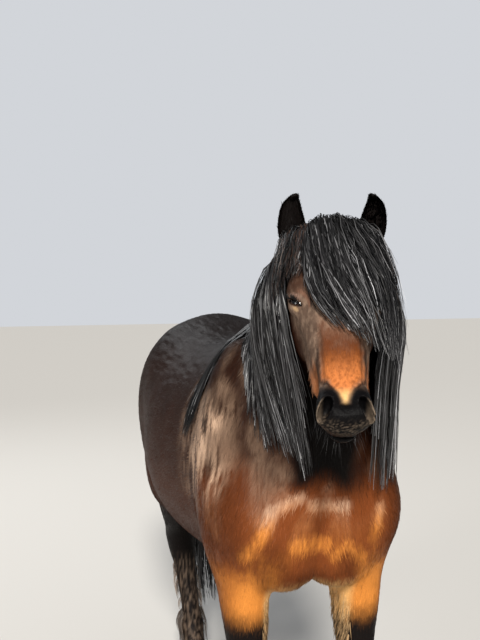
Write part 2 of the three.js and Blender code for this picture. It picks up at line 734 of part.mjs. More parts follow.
function tailCourses() {
  const random = randomStream(41);
  const line = new THREE.CatmullRomCurve3(dock);
  return tailRings.flatMap(({ count, spread, width }) => Array.from({ length: count }, (_, i) => {
    const turn = lerp(-Math.PI, Math.PI, (i + 0.5) / count);
    const r = spread[i % spread.length];
    const t = lerp(0.22, 0.95, 1 - r) + 0.06 * random();
    const ray = vec(Math.sin(turn), Math.max(Math.cos(turn), -0.2), 0).normalize();
    const root = leave(dockField, line.getPoint(t), ray);
    const tip = lerp(1, 0.82, random());
    const points = [root.clone().addScaledVector(ray, -rootDepth), root.clone().addScaledVector(ray, 3)];
    const wide = vec(Math.cos(turn), -Math.sin(turn), 0);
    const high = root.z - 14;
    const low = lerp(high, -tailStations[tailStations.length - 1][0], tip);
    for (let k = 0; k <= lockSteps; k += 1) {
      const z = lerp(high, low, k / lockSteps);
      const [x, y, halfX, halfY] = stationAt(tailStations, -z);
      const p = vec(x + r * halfX * Math.sin(turn), y + r * halfY * Math.cos(turn), z);
      const over = tailGuard(p);
      if (over < lockThickness) p.addScaledVector(outward(tailGuard, p), lockThickness - over);
      p.z = Math.max(p.z, floorClearance + lockThickness);
      points.push(p);
    }
    return {
      line: { points, wides: points.map(() => wide), face: 1 },
      width: width * lerp(0.85, 1.1, random()),
    };
  }));
}

// Feather: short locks behind each fetlock, close to the pastern. Each course has its fall below
// the root and its height over the skin
const featherLocks = 4;
const featherTop = 142;
const featherCourse = [[-16, -9], [0, 2], [22, 7], [46, 9], [66, 6]];

function featherCourses(flip, stations) {
  const random = randomStream(61 + flip);
  return Array.from({ length: featherLocks }, (_, i) => {
    const turn = lerp(-1.2, 1.2, i / (featherLocks - 1));
    const ray = vec(Math.sin(turn), Math.cos(turn), 0);
    const wide = vec(Math.cos(turn), -Math.sin(turn), 0);
    const top = featherTop - 14 * Math.abs(turn);
    const size = 0.9 + 0.2 * random();
    const points = featherCourse.map(([fall, over]) => {
      const z = top - size * fall;
      const [x, back, front] = stationAt(stations, z);
      const skin = leave(bodyField, vec(flip * x, (back + front) / 2, z), ray);
      return skin.addScaledVector(ray, over + 3 * (i % 2) * (over > 2));
    });
    return { line: { points, wides: points.map(() => wide), face: 1 }, width: 34 };
  });
}

// Build the nodes
const pony = new THREE.Group();
pony.name = 'shetland_pony';

function addNode(name, body, colour, roughness) {
  const material = new THREE.MeshStandardMaterial({ color: colour, roughness, metalness: 0 });
  const mesh = new THREE.Mesh(geometryOf(largest(body)), material);
  mesh.name = name;
  pony.add(mesh);
}

const sides = [[1, 'left'], [-1, 'right']];
const headClear = headSolid(clearance);
const torsoClear = torsoSolid(clearance);
const earsClear = union(sides.map(([flip]) => earSolid(flip, clearance)));
const forelock = forelockCourses();

addNode('torso', torsoSolid(), coatBrown, 0.5);

const neck = union([neckSolid(), ...locks(maneCourses())]);
addNode('neck', neck.subtract(union([headClear, torsoClear, earsClear, ...locks(forelock, 2 * clearance)])),
  hairBlack, 0.6);

let head = headSolid();
for (const [flip] of sides) head = head.add(ball(eyeCentre(flip), eyeRadius + 4, 12));
for (const [flip] of sides) {
  head = head.subtract(ball(eyeCentre(flip), eyeRadius + gap)).subtract(lidOpening(flip));
  head = head.subtract(nostril(flip));
}
head = union([head.subtract(mouthGroove()), ...locks(forelock)]);
const eyesClear = sides.map(([flip]) => ball(eyeCentre(flip), eyeRadius + gap));
addNode('head', head.subtract(union([neckSolid(clearance), earsClear, ...eyesClear])), chestBrown, 0.6);

const tail = union([dockSolid(), ...locks(tailCourses())]);
addNode('tail', tail.subtract(torsoClear), hairBlack, 0.6);

for (const [flip, name] of sides) {
  addNode(`ear_${name}`, earSolid(flip).subtract(headClear), pointBlack, 0.7);
  addNode(`eye_${name}`, ball(eyeCentre(flip), eyeRadius), eyeBrown, 0.1);
  for (const leg of [
    { end: 'fore', upper: 'forearm', stations: foreStations, cut: kneeCut, hoof: foreHoof },
    { end: 'hind', upper: 'gaskin', stations: hindStations, cut: hockCut, hoof: hindHoof },
  ]) {
    const { stations, cut } = leg;
    const upper = legSolid({ flip, stations, top: legCut, bottom: cut, rings: 6, around: 16 });
    addNode(`${leg.upper}_${name}`, upper, coatBrown, 0.6);
    const cannon = legSolid({ flip, stations, top: cut, bottom: hoofCut, rings: 8, around: 12 });
    const feathered = union([cannon, ...locks(featherCourses(flip, stations))]);
    const lower = feathered.subtract(hoofSolid(flip, leg.hoof, clearance));
    addNode(`cannon_${leg.end}_${name}`, lower, pointBlack, 0.6);
    addNode(`hoof_${leg.end}_${name}`, hoofSolid(flip, leg.hoof), hoofGrey, 0.5);
  }
}

// The middle of the underside stands at the origin
const bounds = new THREE.Box3().setFromObject(pony);
const middle = bounds.getCenter(vec(0, 0, 0));
pony.position.set(-middle.x, -middle.y, 0);

export default pony;
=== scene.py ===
"""A shetland pony, life-size and standing still: its skin, coat, long hair, eyes and hooves.

The tables hold millimetres in the maker's frame, where the pony faces -Y and its left side is +X.
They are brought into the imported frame, in metres, when a mesh is made.
"""

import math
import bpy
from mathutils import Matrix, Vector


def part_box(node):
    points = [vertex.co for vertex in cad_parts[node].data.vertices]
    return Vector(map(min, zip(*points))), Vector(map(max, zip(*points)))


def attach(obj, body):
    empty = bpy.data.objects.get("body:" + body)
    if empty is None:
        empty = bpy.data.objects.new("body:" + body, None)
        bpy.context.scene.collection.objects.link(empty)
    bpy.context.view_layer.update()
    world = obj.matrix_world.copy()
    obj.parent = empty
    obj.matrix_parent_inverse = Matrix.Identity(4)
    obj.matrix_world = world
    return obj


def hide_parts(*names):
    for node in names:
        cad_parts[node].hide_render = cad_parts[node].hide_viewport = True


bl_info = {
    "name": "Shetland Pony",
    "version": (1, 0, 0),
    "blender": (4, 5, 0),
    "location": "3D View > Sidebar > Pony",
    "description": "Builds the skin, coat, long hair, eyes and hooves of a standing shetland pony",
    "category": "Add Mesh",
}

from collections import namedtuple

import bpy
import numpy as np
from mathutils import Matrix, Vector

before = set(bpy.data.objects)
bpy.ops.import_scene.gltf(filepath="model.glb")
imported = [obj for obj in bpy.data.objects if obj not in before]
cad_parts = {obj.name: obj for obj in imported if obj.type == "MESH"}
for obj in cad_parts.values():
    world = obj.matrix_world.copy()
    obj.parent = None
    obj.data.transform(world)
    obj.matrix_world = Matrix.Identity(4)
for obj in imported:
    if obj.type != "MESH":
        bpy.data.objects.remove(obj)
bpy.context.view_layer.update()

MM = 1000                       # millimetres in a metre

# Driving sizes, as in the solids
WITHERS_HEIGHT = 1050
BODY_LENGTH = 1120
BARREL_HALF_WIDTH = 250
HEAD_LENGTH = 400
HOOF_HEIGHT = 52
EYE_RADIUS = 19
EAR_LENGTH = 102
POLL = np.array([-4.0, -604.0, 1266.0])
NECK_ROOT = np.array([0.0, -410.0, 905.0])
HEAD_YAW = math.radians(-14)
HEAD_SLOPE = math.radians(50)
NECK_SLOPE = math.radians(54.9)
SIDES = {"left": 1, "right": -1}

# The maker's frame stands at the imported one's by the place of one hoof
FORE_HOOF = {"x": 117, "sole": (-496, -382, 48), "coronet": (-468, -388, 36)}
HIND_HOOF = {"x": 70, "sole": (324, 434, 48), "coronet": (352, 430, 36)}
hoof_low, hoof_high = (np.array(corner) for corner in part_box("hoof_fore_left"))
SHIFT = np.array([
    (hoof_low[0] + hoof_high[0]) / 2 - FORE_HOOF["x"] / MM,
    hoof_low[1] - FORE_HOOF["sole"][0] / MM,
    0.0,
])


def to_frame(points):
    """Points of the maker's frame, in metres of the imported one."""
    return np.asarray(points) / MM + SHIFT


def lerp(a, b, t):
    """From a to b as t goes from 0 to 1."""
    return a + (b - a) * t


def smoothstep(x, low, high):
    """A smooth rise from 0 to 1 as x goes from low to high."""
    t = np.clip((x - low) / (high - low), 0, 1)
    return t * t * (3 - 2 * t)


def unit(v):
    """Vectors brought to a length of one."""
    return v / np.maximum(np.linalg.norm(v, axis=-1, keepdims=True), 1e-9)


def mirrored(p):
    """Points of both sides brought over to the left one."""
    return np.abs(p * (1, 0, 0)) + p * (0, 1, 1)


def blend(a, b, width):
    """The union of two fields, rounded over a width."""
    near = np.maximum(width - np.abs(a - b), 0) / width
    return np.minimum(a, b) - near * near * width / 4


def carve(a, b, width):
    """A field with another one cut out of it, with its edge rounded over a width."""
    return -blend(-a, b, width)


def stations_at(stations, places):
    """The columns of a table of stations at some places, joined by smooth curves."""
    table = np.asarray(stations, float)
    keys = table[:, 0]
    values = table[:, 1:]
    slopes = np.empty_like(values)
    slopes[1:-1] = (values[2:] - values[:-2]) / (keys[2:] - keys[:-2])[:, None]
    slopes[0] = (values[1] - values[0]) / (keys[1] - keys[0])
    slopes[-1] = (values[-1] - values[-2]) / (keys[-1] - keys[-2])
    at = np.clip(places, keys[0], keys[-1])
    i = np.clip(np.searchsorted(keys, at) - 1, 0, len(keys) - 2)
    span = (keys[i + 1] - keys[i])[..., None]
    t = (at - keys[i])[..., None] / span
    t2 = t * t
    t3 = t2 * t
    return ((2 * t3 - 3 * t2 + 1) * values[i] + (t3 - 2 * t2 + t) * span * slopes[i]
            + (3 * t2 - 2 * t3) * values[i + 1] + (t3 - t2) * span * slopes[i + 1])


def loft(origin, along, up, side, stations, waist, power, caps):
    """A field for a body along a line, whose stations give shift, top, bottom and half width."""
    first, last = stations[0][0], stations[-1][0]

    def field(p):
        d = p - origin
        s = d @ along
        shift, top, bottom, half = np.moveaxis(stations_at(stations, s), -1, 0)
        middle = lerp(bottom, top, waist)
        h = d @ up - middle
        w = d @ side - shift
        past = np.maximum(np.maximum(first - s, s - last), 0)
        cap = np.where(s < first, caps[0], caps[1])
        reach = np.where(h > 0, top - middle, middle - bottom)
        radius = np.sqrt(h * h + w * w + past * past)
        rho = ((np.abs(w) / half) ** power + (np.abs(h) / reach) ** power
               + (past / cap) ** power) ** (1 / power)
        return radius - radius / np.maximum(rho, 1e-6)

    return field


def mass(centre, radii):
    """A field for an egg-shaped mass."""
    centre = np.asarray(centre, float)
    radii = np.asarray(radii, float)

    def field(p):
        scaled = (p - centre) / radii
        k = np.linalg.norm(scaled, axis=-1)
        slope = np.linalg.norm(scaled / radii, axis=-1)
        return k * (k - 1) / np.maximum(slope, 1e-9)

    return field


def bar(a, b, radius_a, radius_b=None):
    """A field for a round bar between two points."""
    a = np.asarray(a, float)
    line = np.asarray(b, float) - a
    radius_b = radius_a if radius_b is None else radius_b

    def field(p):
        t = np.clip(((p - a) @ line) / (line @ line), 0, 1)
        away = np.linalg.norm(p - a - t[..., None] * line, axis=-1)
        return away - lerp(radius_a, radius_b, t)

    return field


def turns(count):
    """Angles all the way round, evenly spaced."""
    return np.linspace(0, 2 * math.pi, count, endpoint=False)


X, Y, Z = np.eye(3)

# Torso: along the body, height of back, height of belly and half width, as parts of the sizes
TORSO_STATIONS = [
    (at * BODY_LENGTH, 0, back * WITHERS_HEIGHT, belly * WITHERS_HEIGHT, half * BARREL_HALF_WIDTH)
    for at, back, belly, half in (
        (-0.415, 0.87, 0.53, 0.55), (-0.36, 0.93, 0.495, 0.69), (-0.268, 0.995, 0.468, 0.8),
        (-0.09, 0.97, 0.447, 0.93), (0.09, 0.955, 0.44, 1), (0.25, 0.98, 0.478, 0.93),
        (0.375, 0.988, 0.571, 0.78), (0.48, 0.938, 0.648, 0.58), (0.52, 0.89, 0.7, 0.4))]
torso_loft = loft(0 * X, Y, Z, X, TORSO_STATIONS, 0.45, 2.1, (58, 34))

# Muscles of one side, each mirrored: centre and radii
MUSCLES = [mass(centre, radii) for centre, radii in (
    ((125, -370, 840), (70, 110, 190)), ((140, -370, 650), (62, 110, 110)),
    ((118, -455, 690), (70, 70, 95)), ((58, -475, 612), (60, 56, 84)),
    ((104, 370, 845), (98, 165, 145)), ((125, 455, 740), (95, 120, 190)),
    ((150, 300, 610), (70, 90, 110)))]

# Legs of one side: height, sideways place, back, front and half width
FORE_STATIONS = [
    (45, 117, -388, -468, 36), (55, 117, -388, -468, 36), (85, 117, -388, -453, 28),
    (118, 117, -368, -440, 32), (160, 118, -373, -432, 25), (225, 119, -374, -433, 25),
    (280, 120, -374, -446, 33), (315, 121, -371, -454, 40), (350, 121, -374, -453, 37),
    (410, 122, -358, -458, 42), (480, 124, -330, -465, 50), (545, 122, -300, -470, 58),
    (640, 118, -290, -465, 60)]
HIND_STATIONS = [
    (45, 70, 430, 352, 38), (55, 70, 430, 352, 38), (88, 71, 436, 372, 31),
    (122, 72, 462, 390, 35), (165, 75, 460, 402, 28), (230, 80, 480, 420, 30),
    (290, 86, 502, 433, 34), (335, 92, 529, 434, 40), (375, 97, 550, 424, 42),
    (400, 100, 547, 412, 41), (430, 105, 520, 385, 47), (490, 114, 512, 325, 57),
    (560, 122, 518, 262, 67), (640, 123, 540, 235, 70)]
fore_loft = loft(0 * X, Z, Y, X, FORE_STATIONS, 0.5, 2.2, (8, 60))
hind_loft = loft(0 * X, Z, Y, X, HIND_STATIONS, 0.5, 2.2, (8, 60))

# Neck: along its axis, sideways shift, crest, throat and half width
NECK_AXIS = np.array([0, -math.cos(NECK_SLOPE), math.sin(NECK_SLOPE)])
NECK_UP = np.array([0, math.sin(NECK_SLOPE), math.cos(NECK_SLOPE)])
NECK_STATIONS = [
    (-160, 0, 200, -200, 150), (0, 0, 190, -185, 118), (120, -1, 160, -140, 88),
    (240, -3, 135, -112, 74), (330, -5, 117, -98, 66), (372, -6, 98, -84, 54)]
neck_loft = loft(NECK_ROOT, NECK_AXIS, NECK_UP, X, NECK_STATIONS, 0.42, 2, (60, 22))

# Head: down the face from the poll, face line, jaw line and half width
HEAD_TURN = np.array([
    [math.cos(HEAD_YAW), -math.sin(HEAD_YAW), 0], [math.sin(HEAD_YAW), math.cos(HEAD_YAW), 0],
    [0, 0, 1]])
FACE_DOWN = HEAD_TURN @ np.array([0, -math.cos(HEAD_SLOPE), -math.sin(HEAD_SLOPE)])
FACE_OUT = HEAD_TURN @ np.array([0, -math.sin(HEAD_SLOPE), math.cos(HEAD_SLOPE)])
HEAD_LEFT = HEAD_TURN @ X
HEAD_AXES = np.array([HEAD_LEFT, FACE_DOWN, FACE_OUT])
HEAD_STATIONS = [
    (at * HEAD_LENGTH / 400, 0, face, jaw, half) for at, face, jaw, half in (
        (0, -4, -95, 44), (25, 6, -118, 60), (60, 11, -142, 73), (110, 12, -165, 82),
        (157, 9, -178, 80), (200, 4, -168, 67), (245, 0, -138, 54), (300, -2, -108, 44),
        (350, -3, -98, 41), (385, -14, -94, 36))]
head_loft = loft(0 * X, Y, Z, X, HEAD_STATIONS, 0.66, 2.5, (16, 16))


def on_head(down, out, left):
    """Points of the head from their places down the face, out of the face and to the left."""
    parts = np.stack(np.broadcast_arrays(left, down, out), axis=-1).astype(float)
    return POLL + parts @ HEAD_AXES


def in_head(p):
    """The head's own coordinates of points: left, down and out."""
    return (p - POLL) @ HEAD_AXES.T


# Widths over which the body's parts run into each other
JOINS = {
    "muscle": 60, "leg": 45, "neck": 90, "groove": 26, "head": 24, "plain head": 35,
    "head mass": 20}

# Masses of the head, mirrored: left, down and out of the face, with their radii
HEAD_MASSES = [
    mass((48, 152, -112), (31, 70, 62)), mass((68, 136, -32), (20, 30, 24)),
    mass((28, 381, -30), (20, 30, 27)), mass((0, 400, -42), (35, 21, 33)),
    mass((0, 389, -83), (27, 26, 19))]

# Eyes: the left one's middle in the head, and its own axes
EYE_AT = np.array([65, 162, -37])
EYE_LOOK = unit(np.array([0.6, 0.15, 0.79]))
EYE_LONG = np.array([-0.66, 0.69, 0.3])
EYE_ALONG = unit(EYE_LONG - (EYE_LONG @ EYE_LOOK) * EYE_LOOK)
EYE_TOP = np.cross(EYE_LOOK, EYE_ALONG)
LID_THICKNESS = 4.5
SOCKET_DEPTH = 16

# Circles that the lids and the marks near the eye follow: their middle in its plane and radius
UPPER_LID = (0, -22, 27.5)
LOWER_LID = (-2, 26, 30)
LID_CORNER = 6
FOLD_CIRCLE = (0, -22, 35)
BROW_CIRCLE = (4, -22, 44)

# Finer forms of the head, mirrored: added or cut out, how deep they lie and how round their edge is
HEAD_FORMS = [
    (blend, bar((50, 190, -46), (37, 296, -44), 11, 8), 0, 14),
    (blend, bar((42, 225, -84), (37, 318, -70), 16, 12), 0, 16),
    (carve, bar((42, 238, -12), (36, 338, -18), 7, 5), 4, 10),
    (carve, mass((56, 84, 0), (20, 26, 16)), 10, 14),
    (blend, mass(EYE_AT, [EYE_RADIUS + LID_THICKNESS] * 3), 0, 7)]
NOSTRIL_AT = np.array([34, 390, -16])
NOSTRIL_RADII = np.array([8.5, 20, 22])
NOSTRIL_TILT = math.radians(24)
nostril_room = mass((0, 0, 0), NOSTRIL_RADII)
nostril_rim = mass((0, 0, -4), NOSTRIL_RADII + (6, 6, 4))

# The line of the mouth: how far under the face, its bow, half width, corners and depth
MOUTH_OUT = -71
MOUTH_BOW = 0.02
MOUTH_HALF = 1.6
MOUTH_CORNER = 356
MOUTH_DEPTH = 9

# Pebbled skin of the muzzle: its height, its size, its seed and where it starts and is full
PEBBLES = (1.1, 5, 41, 350, 375)


def in_nostril(q):
    """A nostril's own coordinates, its top turned in towards the other one."""
    d = q - NOSTRIL_AT
    c, s = math.cos(NOSTRIL_TILT), math.sin(NOSTRIL_TILT)
    return np.stack([c * d[..., 0] - s * d[..., 1], s * d[..., 0] + c * d[..., 1], d[..., 2]], -1)


def eye_plane(q):
    """Places in the opening of the lids: towards the inner corner, the brow and straight out."""
    d = q - EYE_AT
    return d @ EYE_ALONG, d @ EYE_TOP, d @ EYE_LOOK


def off_circle(along, top, circle):
    """How far places in the eye's plane are outside a circle."""
    middle_along, middle_top, radius = circle
    return np.hypot(along - middle_along, top - middle_top) - radius


def lid_opening(q):
    """A field for an almond between the lids: the upper one is arched, the lower one flatter."""
    along, top, look = eye_plane(q)
    almond = np.maximum(off_circle(along, top, UPPER_LID), off_circle(along, top, LOWER_LID))
    return np.maximum(almond, LID_CORNER - look)


def head_field(p, fine=True):
    """Below zero inside the head, with lids, nostrils and mouth where it is fine."""
    q = in_head(p)
    f = head_loft(q)
    q = mirrored(q)
    for part in HEAD_MASSES:
        f = blend(f, part(q), JOINS["head mass"])
    if not fine:
        return f
    for join, form, sunk, width in HEAD_FORMS:
        f = join(f, form(q) + sunk, width)
    nostril = in_nostril(q)
    f = blend(f, nostril_rim(nostril), 8)
    f = carve(f, nostril_room(nostril), 4)
    lips = np.abs(q[..., 2] - MOUTH_OUT + MOUTH_BOW * q[..., 0] ** 2) - MOUTH_HALF
    lips = np.maximum(lips, MOUTH_CORNER - q[..., 1])
    f = carve(f, np.maximum(lips, -MOUTH_DEPTH - f), 4)
    height, size, seed, start, full = PEBBLES
    f = f + height * smoothstep(q[..., 1], start, full) * (noise(p, size, seed) - 0.5)
    return np.maximum(f, -np.maximum(lid_opening(q), -SOCKET_DEPTH - f))


# Grooves between the great muscles, mirrored: where they start and end, with their half widths
GROOVES = [
    (bar((0, -556, 740), (0, -548, 590), 14), 12),
    (bar((176, -330, 780), (206, -230, 560), 10), 13),
    (bar((206, 190, 800), (225, 250, 560), 12), 15),
    (bar((66, 585, 800), (80, 560, 560), 14), 8)]


def body_field(p):
    """Below zero inside the torso and the legs."""
    q = mirrored(p)
    f = torso_loft(p)
    for muscle in MUSCLES:
        f = blend(f, muscle(q), JOINS["muscle"])
    return blend(blend(f, fore_loft(q), JOINS["leg"]), hind_loft(q), JOINS["leg"])


def flesh_field(p, fine=True):
    """Below zero inside the pony's flesh, above zero outside it."""
    body = blend(body_field(p), neck_loft(p), JOINS["neck"])
    if not fine:
        return blend(body, head_field(p, False), JOINS["plain head"])
    q = mirrored(p)
    for groove, depth in GROOVES:
        body = carve(body, groove(q) + depth, JOINS["groove"])
    return blend(body, head_field(p), JOINS["head"])


def plain_flesh(p):
    """The pony's flesh without its finer forms, which long hair grows from and lies on."""
    return flesh_field(p, False)


def gradient(field, p, step=1.5):
    """How a field changes at points, along each axis."""
    parts = [(field(p + step * axis) - field(p - step * axis)) / (2 * step) for axis in (X, Y, Z)]
    return np.stack(parts, axis=-1)


def leave(field, start, direction, reach, step=8):
    """Where rays from inside a field first leave it."""
    near = np.zeros(len(start))
    for far in np.arange(step, reach, step):
        inside = field(start + far * direction) < 0
        near = np.where(inside & (near >= far - step - 0.1), far, near)
    far = near + step
    for _ in range(9):
        middle = (near + far) / 2
        inside = field(start + middle[:, None] * direction) < 0
        near = np.where(inside, middle, near)
        far = np.where(inside, far, middle)
    return start + ((near + far) / 2)[:, None] * direction


def noise(p, size, seed):
    """Smooth noise from 0 to 1 over lumps of some size."""
    count = 32
    table = np.random.default_rng(seed).random((count,) * 3)
    at = np.asarray(p) / size
    cell = np.floor(at).astype(int)
    t = at - cell
    t = t * t * (3 - 2 * t)
    total = 0
    for i, j, k in np.ndindex(2, 2, 2):
        weight = abs(1 - i - t[..., 0]) * abs(1 - j - t[..., 1]) * abs(1 - k - t[..., 2])
        corner = (cell + (i, j, k)) % count
        total = total + weight * table[corner[..., 0], corner[..., 1], corner[..., 2]]
    return total


# Surface of a field on a grid whose lines stand closer on the head
MOST_AT_ONCE = 200000


def spaced(parts):
    """Grid lines from a list of (start, end, step)."""
    lines = [np.arange(start, end, step) for start, end, step in parts]
    line = np.concatenate(lines)
    return line[: len(line) - (len(line) - 1) % 4]


def sampled(field, xs, ys, zs):
    """A field on a grid, worked out only in blocks near its surface."""
    block = 4
    shape = (len(xs), len(ys), len(zs))
    low = [line[:-1:block] for line in (xs, ys, zs)]
    high = [line[block::block] for line in (xs, ys, zs)]
    middles = np.stack(np.meshgrid(*[(a + b) / 2 for a, b in zip(low, high)], indexing="ij"), -1)
    sizes = np.stack(np.meshgrid(*[b - a for a, b in zip(low, high)], indexing="ij"), -1)
    rough = field(middles.reshape(-1, 3)).reshape(middles.shape[:3])
    margin = 4
    near = np.abs(rough) < 0.75 * np.linalg.norm(sizes, axis=-1) + margin
    values = np.ones(shape, np.float32)
    values[:-1, :-1, :-1] = np.repeat(np.repeat(np.repeat(rough, block, 0), block, 1), block, 2)
    marked = np.zeros(shape, bool)
    for i, j, k in np.argwhere(near) * block:
        marked[i:i + block + 1, j:j + block + 1, k:k + block + 1] = True
    at = np.argwhere(marked)
    points = np.stack([xs[at[:, 0]], ys[at[:, 1]], zs[at[:, 2]]], -1)
    lots = np.array_split(points, len(points) // MOST_AT_ONCE + 1)
    values[marked] = np.concatenate([field(lot) for lot in lots])
    return values


def net(values, xs, ys, zs):
    """Points and four-sided faces of the surface where grid values change sign."""
    inside = values < 0
    cells = np.zeros([n - 1 for n in values.shape], int)
    for corner in np.ndindex(2, 2, 2):
        part = tuple(slice(c, n - 1 + c) for c, n in zip(corner, values.shape))
        cells += inside[part]
    crossed = (cells > 0) & (cells < 8)
    at = np.argwhere(crossed)
    number = np.full(cells.shape, -1)
    number[crossed] = np.arange(len(at))
    lines = (xs, ys, zs)
    total = np.zeros((len(at), 3))
    count = np.zeros(len(at))
    for axis in range(3):
        for pair in np.ndindex(2, 2):
            start = np.insert(np.array(pair), axis, 0)
            end = np.insert(np.array(pair), axis, 1)
            a, b = at + start, at + end
            fa, fb = values[tuple(a.T)], values[tuple(b.T)]
            change = (fa < 0) != (fb < 0)
            t = np.where(change, fa / np.where(change, fa - fb, 1), 0)
            for k in range(3):
                pa, pb = lines[k][a[:, k]], lines[k][b[:, k]]
                total[:, k] += np.where(change, pa + (pb - pa) * t, 0)
            count += change
    points = total / count[:, None]
    faces = []
    for axis in range(3):
        others = [k for k in range(3) if k != axis]
        first = inside[tuple(slice(0, -1) if k == axis else slice(1, -1) for k in range(3))]
        second = inside[tuple(slice(1, None) if k == axis else slice(1, -1) for k in range(3))]
        for flip in (False, True):
            edges = np.argwhere(~first & second if flip else first & ~second)
            edges[:, others] += 1
            around = ((-1, -1), (0, -1), (0, 0), (-1, 0))
            if (axis == 1) != flip:
                around = around[::-1]
            ring = []
            for du, dv in around:
                cell = edges.copy()
                cell[:, others[0]] += du
                cell[:, others[1]] += dv
                ring.append(number[tuple(cell.T)])
            faces.append(np.stack(ring, -1))
    return points, np.concatenate(faces)


# Colours
def srgb(r, g, b):
    """A colour as seen, 0 to 255, turned into light."""
    c = np.array([r, g, b]) / 255
    return np.where(c <= 0.04045, c / 12.92, ((c + 0.055) / 1.055) ** 2.4)


def mix(a, b, t):
    """A colour with another one over it, as strong as t says from 0 to 1."""
    return a + (b - a) * np.clip(t, 0, 1)[..., None]


# Markings: one function for the colour of skin and coat.
# Marks of the body, each over those before it: its colour, how bright and how strong, and its
# bounds. A bound is a mask by name, or the name of a place with the values where the mark starts
# and where it is full, and how far clouds and flecks move that edge.
FRONT = ("y", -250, -420)
BODY_MARKS = [
    ("flank", 1, 1, ("z", 930, 700, 90)),
    ("chest", 1, 1, ("z", 830, 690, 80), FRONT),
    ("golden", 1.12, 0.85, ("z", 625, 545, 60, 30), ("y", -330, -420), ("arm", 60, 100, 40), "inner arm"),
    # Painted shade: darker low on the belly, behind the chest
    ("chest", 0.42, 0.6, ("z", 760, 600, 60), ("y", 400, 200), "behind"),
    # Painted shade: darker low on the hindquarters, about the stifle
    ("flank", 0.8, 1, ("z", 560, 500), ("y", 100, 250)),
    # Painted highlight: the glint of the chest's ridges
    ("glint", 1.2, 0.75, "glint", FRONT),
    # Painted shade in the hollows of the chest
    ("chest", 0.45, 0.6, "hollow", FRONT),
    # Painted sheen: pale streaks where light glances off the shoulder's coat
    ("dust", 1.6, 0.85, "shoulder", "sheen_streaks"),
    ("flank", 1, 0.5, ("x", 120, 185), ("z", 560, 640, 60), FRONT, "off shoulder"),
    # Black hair of the throat, deepened into a painted shadow of the head under the chin
    ("points", 0.6, 1, ("z", 735, 790, 50), ("x", 85, 45, 20), ("y", -440, -480)),
    ("cream", 1, 0.7, ("x", 104, 84), ("z", 560, 510, 30), FRONT),
    ("points", 1, 1, "black"),
    ("grizzle", 0.7, 0.4, "cannon grain", ("y", 200, 300), ("z", 340, 300)),
    ("points", 1, 0.8, ("crest", 90, 170), ("z", 900, 1000))]
# Where the painted sheen lies on the shoulder
SHOULDER = [
    ("x", 70, 120), ("y", -140, -340, 90), ("y", -505, -410), ("z", 960, 860, 120),
    ("z", 610, 740, 140)]
BLACK_TOP = (500, 530, 436)     # where black starts on the fore and hind legs, and where it is full

# Marks of the face and of the orange on the muzzle, likewise
HEAD = [("down", -30, 20), ("y", -540, -590), ("out", -190, -150)]
FACE_MARKS = [
    # Grizzled hair of the upper face, partly real grey hairs and partly painted sheen
    ("grizzle", 1, 1, "grizzled"),
    # Painted sheen: a greyer patch on the bridge of the nose between the eyes
    ("grizzle", 1.1, 0.55, "bridge grain", ("down", 150, 195, 50), ("down", 262, 232, 50),
     ("across", 52, 22)),
    ("points", 1, 0.2, "smudge"),
    ("flank", 1, 1, ("out", -50, -90), ("down", 260, 200)),
    ("flank", 1, 0.75, ("temple", 62, 30)),
    ("ginger", 1, 1, "muzzle", ("down", 200, 280, 60, 20)),
    # Painted shade: a dark line in the groove beside the muzzle
    ("points", 1, 0.75, ("shaded_crease", 4, 1), ("down", 236, 275), ("down", 372, 350)),
    ("orange", 0.7, 0.6, ("out", -28, -42), ("out", -84, -64), ("down", 262, 300, 20), ("down", 374, 352)),
    ("nose", 1, 1, "nose"),
    ("rim", 1, 1, "nose", ("rim", 2.2, 0.4), ("across", 34, 44)),
    ("rim", 1, 0.6, "speck", ("down", 380, 396), ("out", -64, -52), ("out", -12, -28)),
    ("brow", 1, 0.6, "over eye", ("brow", 6, 3), ("along", -8, 0)),
    # Painted highlight along the fold of the upper lid
    ("lid_fold", 1, 0.6, "over eye", ("fold", 2.6, 0.8), ("along", 12, 4)),
    ("eye_spot", 1, 0.5, "near eye", ("spot", 7, 3.5)),
    ("nose", 1, 1, "near eye", ("lid", 4.5, 1.5))]
GINGER_MARKS = [
    ("orange", 1, 1, ("down", 258, 332, 30)),
    ("chest", 0.7, 0.6, "ginger grain"),
    ("cream", 1, 1, ("down", 350, 374))]
MUZZLE_HALF = (37, 3)           # half width of the orange, high up and at the nose
MUZZLE_SOFT = 9
RIM_ROOM = 3.0                  # from the nostril's room to its pale rim
TEMPLE_AT = (62, 108)

# Grains of the hair and of its painted sheen: how they are drawn out, their size, their seed and
# the values between which they rise
GRAINS = {
    "sheen_dapple": ((1, 1, 0.6), 45, 38, 0.2, 0.7), "cannon grain": ((1, 1, 0.2), 4, 53, 0.3, 0.9),
    "grizzle grain": ((1, 1, 0.5), 3.6, 11, 0.4, 0.8), "bridge grain": ((1, 1, 0.3), 5, 71, 0.25, 0.75),
    "speck": ((1, 1, 1), 1.7, 47, 0.4, 0.9), "smudge": ((1, 1, 1), 16, 57, 0.5, 0.8),
    "ginger grain": ((1, 1, 0.6), 3, 43, 0.4, 0.8)}
# Grains that break up the chest's painted glint
STRAND_GRAIN = ((1, 1, 0.2), 4, 33, 0.1, 0.8)
GLINT_PATCH_GRAIN = ((1, 1, 0.6), 40, 29, 0.45, 0.85)
# Streaks of the shoulder's painted sheen
SHEEN_STREAK_GRAIN = ((1, 1, 0.14), 6, 37, 0.15, 0.6)

